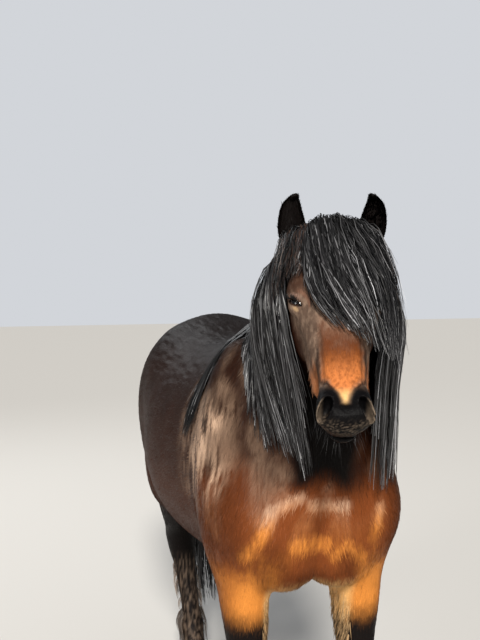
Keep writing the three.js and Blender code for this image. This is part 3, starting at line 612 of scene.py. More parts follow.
# Painted highlights where the front of the chest catches the light, and painted shade where it falls in,
# seen from the front
CHEST_GLINTS = [bar((x_a, 0, z_a), (x_b, 0, z_b), r) for x_a, z_a, x_b, z_b, r in (
    (-143, 619, -118, 668, 6), (-118, 668, -99, 711, 8), (-99, 711, -49, 733, 6), (-50, 640, 8, 636, 11),
    (-24, 716, 51, 714, 6), (29, 612, 58, 638, 4), (58, 638, 90, 606, 5), (112, 640, 124, 700, 5))]
CHEST_SHADED_HOLLOWS = [bar((x_a, 0, z_a), (x_b, 0, z_b), r) for x_a, z_a, x_b, z_b, r in (
    (-98, 612, -84, 570, 20), (-80, 552, 24, 540, 24), (62, 606, 62, 575, 12), (0, 725, -4, 668, 2))]


def inks_of(looks):
    """The pony's colours by name."""
    return {key: np.array(getattr(looks, key)) for key in PonyLooks.__annotations__}


def grain(p, drawn, size, seed, low, high, less=0):
    """Grain of the hair at points, from 0 to 1."""
    return smoothstep(noise(p * drawn, size, seed) - less, low, high)


def held(bounds, at):
    """How strong a mark is within its bounds."""
    mask = 1
    for bound in bounds:
        if isinstance(bound, str):
            mask = mask * at[bound]
            continue
        place, start, full, *ragged = bound
        value = at[place]
        for reach, uneven in zip(ragged, (at["cloud"], at["fleck"])):
            value = value + reach * uneven
        mask = mask * smoothstep(value, start, full)
    return mask


def painted(colour, marks, inks, at):
    """A colour with marks over it."""
    for ink, bright, strength, *bounds in marks:
        colour = mix(colour, inks[ink] * bright, strength * held(bounds, at))
    return colour


def body_places(p):
    """What the marks of the body go by at points: places, unevenness and masks."""
    at = {name: grain(p, *values) for name, values in GRAINS.items()}
    x, y, z = mirrored(p)[..., 0], p[..., 1], p[..., 2]
    at.update(x=x, y=y, z=z, cloud=noise(p, 60, 3) - 0.5, fleck=noise(p, 9, 5) - 0.5)
    at["arm"] = x + 0.5 * (y + 520)
    at["inner arm"] = lerp(1, 0.45, held([("x", 140, 175, 40)], at))
    at["behind"] = 1 - held([FRONT], at)
    # The shoulder's painted sheen, in dapples and streaks
    at["shoulder"] = held(SHOULDER, at) * lerp(0.5, 1, at["sheen_dapple"])
    at["off shoulder"] = 1 - at["shoulder"]
    at["sheen_streaks"] = grain(p, *SHEEN_STREAK_GRAIN, 0.25 * smoothstep(z, 860, 700))
    at["crest"] = (p - NECK_ROOT) @ NECK_UP
    fore, hind, full = BLACK_TOP
    start = lerp(fore, hind, smoothstep(y, -300, 300))
    at["black"] = smoothstep(z + 26 * at["cloud"] + 10 * at["fleck"], start, full)
    # The chest's painted glint and painted shade
    cloud = at["cloud"][..., None]
    bent, flat = p + 40 * cloud, (p + 14 * cloud) * (1, 0, 1)
    ridge_glints = np.maximum.reduce([smoothstep(ridge(flat), 15, -5) for ridge in CHEST_GLINTS])
    glint_patches = 0.25 * grain(bent, *GLINT_PATCH_GRAIN) * smoothstep(z, 560, 620)
    at["glint"] = np.maximum(ridge_glints, glint_patches) * lerp(0.35, 1, grain(bent, *STRAND_GRAIN))
    at["hollow"] = np.maximum.reduce([smoothstep(hollow(flat), 26, -6) for hollow in CHEST_SHADED_HOLLOWS])
    return at


def face_places(p, at):
    """What the marks of the face go by at points, besides those of the body."""
    q = mirrored(in_head(p))
    across, down, out = q[..., 0], q[..., 1], q[..., 2]
    half = lerp(*MUZZLE_HALF, smoothstep(down, 318, 380))
    fleck = at["fleck"]
    muzzle = smoothstep(across + 9 * fleck, half + MUZZLE_SOFT, half - MUZZLE_SOFT)
    beside = smoothstep(across, half - 3, half + MUZZLE_SOFT)
    found = dict(at, across=across, down=down, out=out, muzzle=muzzle)
    found["temple"] = np.hypot(across - TEMPLE_AT[0], down - TEMPLE_AT[1])
    found["grizzled"] = 0.15 + 0.3 * at["grizzle grain"] * smoothstep(down, 20, 130)
    # The groove beside the muzzle, which holds its painted shade
    found["shaded_crease"] = np.abs(across - half - 4 + 4 * fleck)
    found["nose"] = np.maximum(held([("down", 330, 360, 6)], found) * beside, smoothstep(down, 374, 386))
    found["rim"] = np.abs(nostril_room(in_nostril(q)) - RIM_ROOM)
    along, top, _ = eye_plane(q)
    near = np.linalg.norm(q - EYE_AT, axis=-1) < EYE_RADIUS + 20
    found.update({"near eye": near, "over eye": near * (top > 0), "along": along, "lid": lid_opening(q)})
    found["brow"] = np.abs(off_circle(along, top, BROW_CIRCLE))
    found["fold"] = np.abs(off_circle(along, top, FOLD_CIRCLE))
    found["spot"] = np.hypot(along - 9, (top + 10) * 1.6)
    return found


def markings(p, looks):
    """The pony's colour at points of the maker's frame."""
    inks = inks_of(looks)
    at = body_places(p)
    # The painted glint's colour: golden low down, the painted sheen higher up
    inks["glint"] = mix(inks["golden"], inks["dust"], held([("z", 640, 740, 60)], at))
    colour = painted(inks["back"], BODY_MARKS, inks, at)
    at = face_places(p, at)
    inks["ginger"] = painted(0.62 * inks["chest"], GINGER_MARKS, inks, at)
    return mix(colour, painted(inks["face"], FACE_MARKS, inks, at), held(HEAD, at))


# Lie of the coat: between which places along and up the body and in the head it changes
BACKWARDS = np.array([0, 1, -0.35])
DOWNWARDS = np.array([0, 0.12, -1])
CHEST_LIE = (-300, -420)
LEG_LIE = (640, 520)
HEAD_LIE = (0, 60)
CHEEK_LIE = (-20, -70)
CHEST_SHINE = (-240, -380)


def lay_of(p, normals):
    """The way the short coat lies at points, along the skin."""
    side = np.sign(p[..., :1]) * X
    lay = np.broadcast_to(BACKWARDS, p.shape)
    lay = lerp(lay, DOWNWARDS + 0.25 * side, smoothstep(p[..., 1], *CHEST_LIE)[..., None])
    lay = lerp(lay, DOWNWARDS, smoothstep(p[..., 2], *LEG_LIE)[..., None])
    q = in_head(p)
    head = (smoothstep(q[..., 1], *HEAD_LIE) * smoothstep(p[..., 1], -540, -590))[..., None]
    cheek = smoothstep(q[..., 2], *CHEEK_LIE)[..., None]
    lay = lerp(lay, lerp(FACE_DOWN, 0.5 * FACE_DOWN - FACE_OUT, cheek), head)
    lay = lay - (lay * normals).sum(-1, keepdims=True) * normals
    return unit(lay)


def ruffle(p, normals, lay):
    """How far the coat's broad locks tilt its shine at points, across its lie."""
    across = np.cross(normals, lay)
    down = np.maximum(smoothstep(p[..., 1], *CHEST_SHINE), smoothstep(p[..., 2], *LEG_LIE))
    near, far = 3.0 * across, 9 * across

    def height(q):
        return lerp(noise(q * (1, 0.2, 1), 10, 61), noise(q * (1, 1, 0.2), 10, 62), down)

    rise = height(p + near) - height(p - near)
    broad = noise(p + far, 34, 63) - noise(p - far, 34, 63)
    return -(0.7 * rise + 0.2 * broad)[..., None] * across


# Meshes
PATCH_SIZE = 0.003              # of a hair's or a tuft's patch of the UV map


def make_mesh(name, points, faces, colours, uv=None):
    """An object from points in millimetres and arrays of faces of three or four corners."""
    faces = [np.asarray(part) for part in faces if len(part)]
    mesh = bpy.data.meshes.new(name)
    mesh.vertices.add(len(points))
    mesh.vertices.foreach_set("co", to_frame(points).astype(np.float32).ravel())
    corners = np.concatenate([part.ravel() for part in faces]).astype(np.int32)
    sizes = np.concatenate([np.full(len(part), part.shape[1]) for part in faces])
    mesh.loops.add(len(corners))
    mesh.loops.foreach_set("vertex_index", corners)
    mesh.polygons.add(len(sizes))
    starts = np.concatenate([[0], np.cumsum(sizes)[:-1]]).astype(np.int32)
    mesh.polygons.foreach_set("loop_start", starts)
    mesh.polygons.foreach_set("use_smooth", np.ones(len(sizes), bool))
    layer = mesh.attributes.new("coat", "FLOAT_COLOR", "POINT")
    layer.data.foreach_set("color", np.c_[colours, np.ones(len(points))].astype(np.float32).ravel())
    if uv is not None:
        layer = mesh.uv_layers.new(name="OFBake")
        layer.data.foreach_set("uv", np.asarray(uv)[corners].astype(np.float32).ravel())
    mesh.update(calc_edges=True)
    mesh.validate()
    piece = bpy.data.objects.new(name, mesh)
    bpy.context.scene.collection.objects.link(piece)
    return piece


def dress(piece, material, slot, *nodes):
    """Give a piece its finish, its body and the nodes that it stands for."""
    piece.data.materials.append(material)
    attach(piece, "root")
    if nodes:
        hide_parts(*nodes)


def tube(name, rings, colours):
    """A closed tube through rings of points, with its ends filled."""
    rows, around = rings.shape[:2]
    index = np.arange(rows * around).reshape(rows, around)
    beside = np.roll(index, -1, axis=1)
    sides = np.stack([index[:-1], beside[:-1], beside[1:], index[1:]], -1).reshape(-1, 4)
    ends = []
    for row, order in ((0, -1), (rows - 1, 1)):
        ring = index[row][::order]
        ends.append(np.stack([np.full(around - 2, ring[0]), ring[1:-1], ring[2:]], -1))
    return make_mesh(name, rings.reshape(-1, 3), [sides, np.concatenate(ends)], colours.reshape(-1, 3))


def patch(root_uv, sides, rows):
    """UV of hairs: each a patch at its root's place on the unwrapped skin."""
    across = np.linspace(-0.5, 0.5, sides)[None, None, :] * PATCH_SIZE
    along = np.linspace(0, 1, rows)[None, :, None] * PATCH_SIZE
    u = root_uv[:, 0, None, None] + across + 0 * along
    v = root_uv[:, 1, None, None] + along + 0 * across
    return np.stack([u, v], -1).reshape(-1, 2)


def wander(rng, count, rows, knots=5):
    """Smooth random runs of numbers, one for each hair."""
    return rng.normal(size=(count, knots)) @ catmull(knots, np.linspace(0, 1, rows)).T


def strands(name, paths, wides, widths, thick, colours, root_uv, roll=0.0, face=1):
    """Hairs with three sides along paths, flat inside, with a ridge outside, ending in a tip.

    Each is shaded as if rolled about its own course, so that hairs side by side glint apart.
    """
    n, rows = paths.shape[:2]
    course = np.gradient(paths, axis=1)
    wide = face * unit(wides - (wides * unit(course)).sum(-1, keepdims=True) * unit(course))
    out = unit(np.cross(wide, course))
    half = (widths / 2)[..., None] * wide
    ridge = (widths * thick)[..., None] * out
    points = np.stack([paths - half, paths + half, paths + ridge], axis=2)
    index = np.arange(n * rows * 3).reshape(n, rows, 3)
    faces = []
    for k in range(3):
        a, b = index[:, :, k], index[:, :, (k + 1) % 3]
        faces.append(np.stack([a[:, :-1], a[:, 1:], b[:, 1:], b[:, :-1]], -1).reshape(-1, 4))
    ends = np.concatenate([index[:, 0], index[:, -1, ::-1]])
    tint = colours[:, None] if colours.ndim == 2 else colours
    tint = np.broadcast_to(tint[:, :, None], (n, rows, 3, 3)).reshape(-1, 3)
    uv = patch(root_uv, 3, rows)
    piece = make_mesh(name, points.reshape(-1, 3), [np.concatenate(faces), ends], tint, uv)
    if roll:
        rng = np.random.default_rng(n)
        turn = roll * (rng.normal(size=(n, 1)) + 0.5 * wander(rng, n, rows))[..., None]
        facing = unit(np.cos(turn) * unit(out) + np.sin(turn) * wide)
        facing = np.repeat(facing[:, :, None], 3, axis=2).reshape(-1, 3)
        piece.data.normals_split_custom_set_from_vertices(facing.tolist())
    return piece


def catmull(count, t):
    """Weights that join a number of points by a smooth curve, at places from 0 to 1."""
    table = np.c_[np.arange(count), np.eye(count)]
    return stations_at(table, t * (count - 1))


def sheet_at(guides, u, t):
    """Places on the sheet that a set of guides spans: u across it and t along the hair."""
    guides = np.asarray(guides, float)
    across = catmull(guides.shape[0], u)
    along = catmull(guides.shape[1], t)
    return np.einsum("...g,...j,gjc->...c", across, along, guides)


def pushed(field, p, room, rounds=2):
    """Points moved out of a field until they have some room."""
    flat = p.reshape(-1, 3).copy()
    wanted = np.broadcast_to(room, p.shape[:-1]).reshape(-1)
    for _ in range(rounds):
        over = wanted - field(flat)
        low = over > 0
        if not low.any():
            break
        flat[low] += unit(gradient(field, flat[low], 3)) * over[low, None]
    return flat.reshape(p.shape)


LOOSE_SHARE = 0.16              # of the hairs, which stray from their clump


def bundles(rng, clumps, hairs, rows, radius, tip_radius, wave, stray):
    """Offsets of the hairs of each clump from its course: beside it and out of its sheet."""
    angle = rng.random((clumps, hairs)) * 2 * math.pi
    reach = np.sqrt(rng.random((clumps, hairs)))
    t = np.linspace(0, 1, rows)
    size = lerp(radius, tip_radius, smoothstep(t, 0.15, 1.0)) * lerp(0.2, 1, smoothstep(t, 0, 0.3))
    phase = rng.random((clumps, hairs, 1)) * 2 * math.pi
    waves = wave * (np.sin(t * 9 + phase) + 0.7 * np.sin(t * 19 + 3 * phase)) * smoothstep(t, 0, 0.3)
    loose = (rng.random((clumps, hairs, 1)) < LOOSE_SHARE) * stray * t * t
    loose = loose * rng.normal(size=(clumps, hairs, 1))
    beside = reach[..., None] * np.cos(angle)[..., None] * size + waves + loose
    above = 0.6 * reach[..., None] * np.sin(angle)[..., None] * size + 0.4 * waves
    return beside, above


def hang(rng, course, wide, out, hairs, shape, shorten, wave, stray):
    """Hairs round the courses of clumps: their paths, sides and widths.

    The shape is the radius of a clump, that of its tip and the width of a hair.
    """
    clumps, rows = course.shape[:2]
    radius, tip_radius, width = shape
    beside, above = bundles(rng, clumps, hairs, rows, radius, tip_radius, wave, stray)
    cut = 1 - shorten * rng.random((clumps, hairs)) ** 1.5
    t = np.linspace(0, 1, rows) * cut[..., None]
    weights = catmull(rows, t)
    at = np.einsum("chrk,ckx->chrx", weights, course)
    sideways = np.einsum("chrk,ckx->chrx", weights, wide)
    outwards = np.einsum("chrk,ckx->chrx", weights, out)
    paths = at + beside[..., None] * sideways + above[..., None] * outwards
    taper = smoothstep(np.linspace(0, 1, rows), 1.25, 0.55)
    widths = width * (taper * lerp(0.75, 1.0, rng.random((clumps, hairs, 1))))
    n = clumps * hairs
    return paths.reshape(n, rows, 3), sideways.reshape(n, rows, 3), widths.reshape(n, rows)


# Hair guides, as in the solids: the root's place along the neck, then the places that the
# outermost hair passes, out to the side, along the body and height
MANE_RIGHT = [
    (352, (60, -524, 1250), (102, -594, 1168), (92, -628, 1040), (44, -624, 762)),
    (300, (86, -492, 1210), (147, -560, 1118), (136, -570, 990), (90, -592, 818)),
    (235, (82, -445, 1140), (120, -478, 1050), (124, -492, 960), (122, -508, 840)),
    (160, (84, -400, 1082), (112, -408, 1050), (124, -415, 1025), (130, -422, 1000))]
MANE_LEFT = [
    (352, (60, -560, 1250), (100, -640, 1140), (80, -674, 985), (76, -646, 762)),
    (300, (80, -505, 1210), (158, -560, 1080), (148, -570, 930), (150, -562, 740)),
    (225, (88, -445, 1140), (138, -480, 1030), (152, -495, 900), (168, -500, 790)),
    (130, (98, -370, 1070), (160, -390, 1000), (190, -405, 940), (204, -415, 880))]
WITHERS = [
    (118, (62, -340, 1078), (118, -325, 1020), (164, -282, 918), (190, -225, 800)),
    (60, (54, -290, 1066), (112, -268, 1020), (160, -226, 924), (196, -196, 800))]

# Forelock guides from the right ear to the left one: to the left, down the face and out of it
FORELOCK = [
    ((-52, -2, 17), (-58, 96, 22), (-47, 184, 25), (-11, 246, 18)),
    ((-36, -8, 26), (-31, 98, 32), (-6, 198, 32), (32, 272, 20)),
    ((-8, -12, 30), (12, 90, 36), (42, 196, 33), (70, 302, 10)),
    ((20, -12, 28), (54, 68, 29), (86, 172, 18), (98, 318, -12)),
    ((44, -4, 19), (86, 46, 14), (114, 152, -5), (116, 340, -44))]

# Temple guides from the forelock out to the mane, on the left: to the side, down and out
TEMPLE = [
    ((46, 0, 16), (54, 50, 17), (60, 94, 12), (66, 128, 3)),
    ((62, -6, 5), (74, 42, 8), (82, 90, 0), (88, 134, -14)),
    ((78, -10, -16), (92, 34, -18), (102, 84, -28), (108, 136, -42)),
    ((86, -14, -48), (106, 30, -50), (118, 90, -60), (128, 190, -80))]

# Tail: a bent dock, and hair round it with its middle and half widths at falling heights
DOCK = np.array([
    (0, 552, 905), (0, 604, 908), (0, 636, 880), (0, 648, 820), (1, 646, 750), (3, 642, 680)], float)
DOCK_RADII = np.array([34, 31, 27, 23, 18, 12], float)
TAIL_STATIONS = [(-z, *rest) for z, *rest in (
    (915, 0, 618, 34, 26), (860, 0, 640, 44, 32), (780, 1, 650, 52, 36), (650, 6, 650, 72, 38),
    (520, 16, 644, 88, 42), (380, 26, 638, 88, 40), (230, 32, 634, 76, 34), (90, 34, 632, 50, 24))]
TAIL_END = 90

# Feather: how far below its root and how far off the leg the places of a hair are
FEATHER_COURSE = np.array([(-16, -9), (0, 2), (22, 7), (46, 9), (66, 6)], float)

# How deep clumps start in the skin, and how far off it their courses stay
ROOT_DEPTH = 8
CLUMP_ROOM = 5.0

# Ears: the shift outwards and the half width along them
EAR_STATIONS = [
    (0, 0, 22), (0.3, 3, 27), (0.45, 6, 28), (0.63, 9, 24.5), (0.82, 9.5, 18), (0.91, 7, 12),
    (0.97, 3, 7), (1, 1, 3)]
EAR_SINK = 24
EAR_DEPTH = 0.74

# Styles of long hair: clumps, hairs in one, depth of the layers, how much shorter the shortest
# clumps and hairs are, sway of the clumps, waves and strays of the hairs, their room over the
# skin, the share of hairs with pale streaks of painted sheen, and the share of brown hairs
Style = namedtuple("Style", "clumps hairs depth short cut sway wave stray room pale brown")
STYLES = {
    "mane_right": Style(110, 22, 30, 0.28, 0.22, 0.05, 1.6, 14, 2.5, 0.7, 0),
    "mane_left": Style(110, 22, 30, 0.28, 0.22, 0.05, 1.6, 14, 2.5, 0.9, 0),
    "mane_withers": Style(34, 20, 14, 0.28, 0.22, 0.05, 1.6, 14, 2.5, 0.1, 0),
    "forelock": Style(105, 22, 20, 0.55, 0.5, 0.07, 2.4, 16, 2.5, 0.5, 0),
    "temple_hair": Style(42, 15, 12, 0.55, 0.5, 0.08, 2.6, 10, 2.0, 0.08, 0.35)}

# Radius of a clump, radius of its tip and width of a hair
FORELOCK_SHAPE = (12, 5, 1.8)
TEMPLE_SHAPE = (7, 3, 1.9)
TAIL_SHAPE = (11, 3, 3.6)
FEATHER_SHAPE = (7, 4.2, 1.5)
HAIR_RIDGE = 0.35               # height of a hair's ridge, as a part of its width
STIFF_RIDGE = 0.7


def ear_place(flip):
    """The middle of an ear's base and its tip."""
    base = on_head(8, -56, flip * 68)
    return base, base + np.array([0, -14, EAR_LENGTH]) + flip * 2 * HEAD_LEFT


def ear_bar(flip):
    """A field for an ear, which the hair lies against."""
    base, tip = ear_place(flip)
    return bar(base, lerp(base, tip, 0.8), 24)


EAR_BARS = [ear_bar(flip) for flip in SIDES.values()]


def head_guard(p):
    """What the mane and forelock lie against: the flesh and the ears."""
    return np.minimum.reduce([plain_flesh(p)] + [ear(p) for ear in EAR_BARS])


def dock_field(p):
    """Below zero inside the tail's dock."""
    bars = zip(DOCK, DOCK[1:], DOCK_RADII, DOCK_RADII[1:])
    return np.minimum.reduce([bar(*each)(p) for each in bars])


def tail_guard(p):
    """What the tail's hair lies against: the rump, the thighs and the dock."""
    return np.minimum(body_field(p), dock_field(p))


def in_sheet(guides, face, u, t):
    """Places in a sheet of hair with its sideways and outward directions."""
    step = 0.02
    at = np.clip(u, step, 1 - step)
    p = sheet_at(guides, at, t)
    wide = unit(sheet_at(guides, at + step, t) - sheet_at(guides, at - step, t))
    along = sheet_at(guides, at, np.minimum(t + step, 1)) - sheet_at(guides, at, np.maximum(t - step, 0))
    return p, wide, face * unit(np.cross(wide, along))


def sheet_clumps(rng, guides, face, root_of, rows, style):
    """Courses of clumps from their roots through a sheet: places, sideways and outwards."""
    count = style.clumps
    u = (np.arange(count) + rng.random(count)) / count
    layer = rng.random(count)
    root, rise = root_of(u, layer)
    length = 1 - style.short * rng.random(count) ** 2
    t = lerp(0.12 * layer, length, np.linspace(0, 1, rows - 2)[:, None]).T
    phase = 6 * rng.random((count, 1))
    drift = style.sway * rng.normal(size=(count, 1))
    at = u[:, None] + drift * np.sin(2.6 * t + phase) * t
    p, wide, out = in_sheet(guides, face, at, t)
    room = head_guard(p.reshape(-1, 3)).reshape(p.shape[:2]) - 6
    p = p - out * (layer[:, None] * np.clip(room, 0, style.depth))[..., None]
    p = pushed(head_guard, p, CLUMP_ROOM)
    start = np.stack([root - ROOT_DEPTH * rise, root + 3 * rise], 1)
    course = np.concatenate([start, p], 1)
    course[:, 2] = lerp(course[:, 2], (course[:, 1] + course[:, 3]) / 2, 0.7)
    wide = np.concatenate([wide[:, :1], wide[:, :1], wide], 1)
    out = np.concatenate([out[:, :1], out[:, :1], out], 1)
    return course, wide, out, u, layer


def neck_root(guides, flip):
    """The roots of a side of the mane, from their place in its sheet and their layer."""

    def root_of(u, layer):
        s = catmull(len(guides), u) @ np.array([guide[0] for guide in guides], float)
        start = NECK_ROOT + s[:, None] * NECK_AXIS + 50 * NECK_UP
        lean = unit(flip * lerp(0.05, 1.1, layer)[:, None] * X + NECK_UP)
        return leave(plain_flesh, start, lean, 260), lean

    return root_of


def hair_colours(rng, inks, clumps, hairs, rows, pale):
    """Black hair, darker towards the roots, with greyer streaks of painted sheen that come and go along it.
    """
    count = clumps * hairs
    tone = np.exp(0.6 * rng.normal(size=(count, 1)) + 0.3 * wander(rng, count, rows))
    of_clump = np.repeat(lerp(0.6, 1.3, rng.random(clumps)), hairs)[:, None]
    tone = tone * of_clump * np.linspace(0.4, 1.2, rows)
    grey = (rng.random((count, 1)) < pale) * rng.random((count, 1))
    grey = grey * np.clip(0.6 + 0.7 * wander(rng, count, rows), 0, 1) * np.linspace(0.15, 1.3, rows)
    return tone[..., None] * lerp(inks["hair"], inks["hair_sheen"], grey[..., None])


def grow(name, rng, inks, rows, guides, face, root_of, shape, style):
    """Hair in clumps that grow through a sheet and lie against the head and neck."""
    course, wide, out, u, layer = sheet_clumps(rng, guides, face, root_of, rows, style)
    paths, wides, widths = hang(
        rng, course, wide, out, style.hairs, shape, style.cut, style.wave, style.stray)
    paths = pushed(head_guard, paths, np.r_[-4, np.full(rows - 1, style.room)], 1)
    brown = 0
    if style.brown:
        brown = (rng.random((len(paths), 1, 1)) < style.brown) * inks["face"] * 0.7
    colours = hair_colours(rng, inks, style.clumps, style.hairs, rows, style.pale) + brown
    root_uv = np.repeat(np.c_[lerp(0.05, 0.95, u), lerp(0.1, 0.9, layer)], style.hairs, 0)
    piece = strands(name, paths, wides, widths, HAIR_RIDGE, colours, root_uv, 0.7, face)
    dress(piece, finish("pony_long_hair"), "mane")


# Materials
def new_material(name):
    """A material with its node tree and shader."""
    material = bpy.data.materials.new(name)
    material.use_nodes = True
    tree = material.node_tree
    shader = tree.nodes["Principled BSDF"]
    return material, tree, shader


def new_group(name, inputs, outputs):
    """A node group with its sockets, and the nodes of its inputs and outputs."""
    group = bpy.data.node_groups.new(name, "ShaderNodeTree")
    for label, kind, value in inputs:
        socket = group.interface.new_socket(label, in_out="INPUT", socket_type=kind)
        socket.default_value = value
    for label, kind in outputs:
        group.interface.new_socket(label, in_out="OUTPUT", socket_type=kind)
    return group, group.nodes.new("NodeGroupInput"), group.nodes.new("NodeGroupOutput")


def node(tree, kind, **values):
    """A new node with values for its inputs or settings."""
    made = tree.nodes.new(kind)
    for key, value in values.items():
        if key in made.inputs:
            made.inputs[key].default_value = value
        else:
            setattr(made, key, value)
    return made


def wire(tree, *wires):
    """Link nodes: each wire is a node with its output and another one with its input."""
    for source, output, target, given in wires:
        tree.links.new(source.outputs[output], target.inputs[given])


def grain_group():
    """Fine grain over a colour: lighter and darker flecks, with roughness and relief to match."""
    name = "Pony Grain"
    if name in bpy.data.node_groups:
        return bpy.data.node_groups[name]
    group, given, result = new_group(name, [
        ("Color", "NodeSocketColor", (0.8, 0.8, 0.8, 1)), ("Size", "NodeSocketFloat", 400.0),
        ("Fleck", "NodeSocketFloat", 0.3), ("Rough Low", "NodeSocketFloat", 0.35),
        ("Rough High", "NodeSocketFloat", 0.6), ("Relief", "NodeSocketFloat", 0.3)],
        [("Color", "NodeSocketColor"), ("Roughness", "NodeSocketFloat"), ("Normal", "NodeSocketVector")])
    place = node(group, "ShaderNodeTexCoord")
    fine = node(group, "ShaderNodeTexNoise", Detail=3.0)
    broad = node(group, "ShaderNodeTexNoise", Scale=22.0, Detail=2.0)
    centred = node(group, "ShaderNodeMath", operation="SUBTRACT")
    centred.inputs[1].default_value = 0.5
    swing = node(group, "ShaderNodeMath", operation="MULTIPLY_ADD")
    swing.inputs[2].default_value = 1.0
    tint = node(group, "ShaderNodeVectorMath", operation="SCALE")
    rough = node(group, "ShaderNodeMapRange")
    bump = node(group, "ShaderNodeBump", Distance=0.002)
    wire(group,
         (place, "Object", fine, "Vector"), (given, "Size", fine, "Scale"),
         (place, "Object", broad, "Vector"), (fine, "Fac", centred, 0), (centred, 0, swing, 0),
         (given, "Fleck", swing, 1), (given, "Color", tint, 0), (swing, 0, tint, "Scale"),
         (tint, 0, result, "Color"), (broad, "Fac", rough, "Value"),
         (given, "Rough Low", rough, "To Min"), (given, "Rough High", rough, "To Max"),
         (rough, "Result", result, "Roughness"), (given, "Relief", bump, "Strength"),
         (fine, "Fac", bump, "Height"), (bump, "Normal", result, "Normal"))
    return group


# Finishes: size and strength of the flecks, lowest and highest roughness, relief and gloss
FINISHES = {
    "pony_long_hair": (900, 0.5, 0.34, 0.46, 0.1, 0.5),
    "pony_coat_skin": (420, 0.4, 0.4, 0.55, 0.35, 0.05),
    "pony_coat_tufts": (700, 0.3, 0.4, 0.56, 0.1, 0.09),
    "pony_eye": (300, 0.3, 0.04, 0.08, 0.0, 0.5),
    "pony_hoof": (160, 0.5, 0.45, 0.65, 0.25, 0.4)}


def finish(name):
    """A material in the piece's own colours with grain over them."""
    if name in bpy.data.materials:
        return bpy.data.materials[name]
    *grain_values, gloss = FINISHES[name]
    material, tree, shader = new_material(name)
    colour = node(tree, "ShaderNodeAttribute", attribute_name="coat")
    flecks = node(tree, "ShaderNodeGroup", node_tree=grain_group())
    for key, value in zip(("Size", "Fleck", "Rough Low", "Rough High", "Relief"), grain_values):
        flecks.inputs[key].default_value = value
    wire(tree,
         (colour, "Color", flecks, "Color"), (flecks, "Color", shader, "Base Color"),
         (flecks, "Roughness", shader, "Roughness"), (flecks, "Normal", shader, "Normal"))
    shader.inputs["Specular IOR Level"].default_value = gloss
    return material


# Sizes and colours that a user would change
def colour_property(name, description, rgb):
    """A colour, given as it is seen."""
    return bpy.props.FloatVectorProperty(
        name=name, description=description, subtype="COLOR", size=3, min=0, max=1,
        default=tuple(float(c) for c in srgb(*rgb)))


def length_property(name, description, metres):
    """A length, given in metres."""
    return bpy.props.FloatProperty(
        name=name, description=description, default=metres, min=0, precision=4, unit="LENGTH")


class PonyLooks(bpy.types.PropertyGroup):
    """Colours of coat, hair, skin, eyes and hooves"""

    back: colour_property("Back", "Dark bay along the back", (33, 19, 13))
    flank: colour_property("Flank", "Bay of the sides", (46, 22, 11))
    chest: colour_property("Chest", "Red brown of the chest", (108, 56, 26))
    golden: colour_property("Golden", "Golden hair low on the chest and forearms", (190, 120, 52))
    # Painted sheen of the shoulder and chest, given as a pale colour
    dust: colour_property("Dust", "Pale tips of the hair on the shoulder", (178, 148, 124))
    cream: colour_property("Cream", "Pale hair of the muzzle and inner forearms", (222, 178, 116))
    orange: colour_property("Orange", "Orange hair above the nose", (188, 112, 60))
    points: colour_property("Points", "Black of the lower legs and crest", (18, 14, 13))
    face: colour_property("Face", "Dark hair of the upper face", (72, 54, 45))
    grizzle: colour_property("Grizzle", "Greyish brown hair in the face", (160, 136, 116))
    nose: colour_property("Nose", "Charcoal skin of the nose and lids", (10, 9, 10))
    rim: colour_property("Rim", "Grey tan of the nostril rims", (112, 98, 84))
    hair: colour_property("Hair", "Black of the mane and tail", (13, 12, 13))
    # Painted sheen: greyer streaks in the mane that stand in for its highlights
    hair_sheen: colour_property("Hair sheen", "Lighter hairs in the mane", (118, 118, 120))
    brow: colour_property("Brow", "Brown curve over the eye", (104, 70, 54))
    # Painted highlight of the upper lid's fold
    lid_fold: colour_property("Lid fold", "Pale fold of the upper lid", (150, 120, 106))
    eye_spot: colour_property("Eye spot", "Pale spot at the inner corner of the eye", (196, 164, 124))
    iris: colour_property("Iris", "Brown round the pupil", (58, 36, 22))
    iris_edge: colour_property("Iris edge", "Darker brown further out", (20, 12, 9))
    pupil: colour_property("Pupil", "Black of the pupil", (6, 5, 6))
    eye_white: colour_property("Eye white", "Brown rim of the eye under the lids", (26, 17, 14))
    horn_low: colour_property("Horn at the ground", "Grey horn of the hooves", (58, 52, 46))
    horn_high: colour_property("Horn at the coronet", "Dark horn of the hooves", (30, 26, 24))


class PonySizes(bpy.types.PropertyGroup):
    """Sizes of coat and hair"""

    rows: bpy.props.IntProperty(
        name="Hair steps", description="Places along each long hair", default=13, min=5, max=20)
    clump: length_property("Clump radius", "Half width of a clump of the mane", 0.011)
    clump_tip: length_property("Clump tip", "Half width of a clump at its tip", 0.0022)
    mane_width: length_property("Hair width", "Width of a drawn hair of the mane", 0.0025)
    coat_length: length_property("Coat length", "Length of the short coat", 0.017)
    skin_depth: length_property("Skin depth", "Depth of the skin under the solids", 0.002)


class PonyStage(bpy.types.PropertyGroup):
    """Floor and light"""

    floor: colour_property("Floor", "Plain pale floor", (206, 204, 200))
    key_power: bpy.props.FloatProperty(
        name="Key light", description="Strength of the main light", default=5.0, min=0)
    fill_power: bpy.props.FloatProperty(
        name="Fill light", description="Power of the fill light", default=70.0, min=0, unit="POWER")
    sky: bpy.props.FloatProperty(
        name="Sky", description="Strength of the even light", default=0.25, min=0)


# Operators, one for each group of pieces
SKIN_NODES = ["torso", "neck", "head"] + [
    f"{part}_{side}" for side in SIDES for part in ("forearm", "gaskin", "cannon_fore", "cannon_hind")]

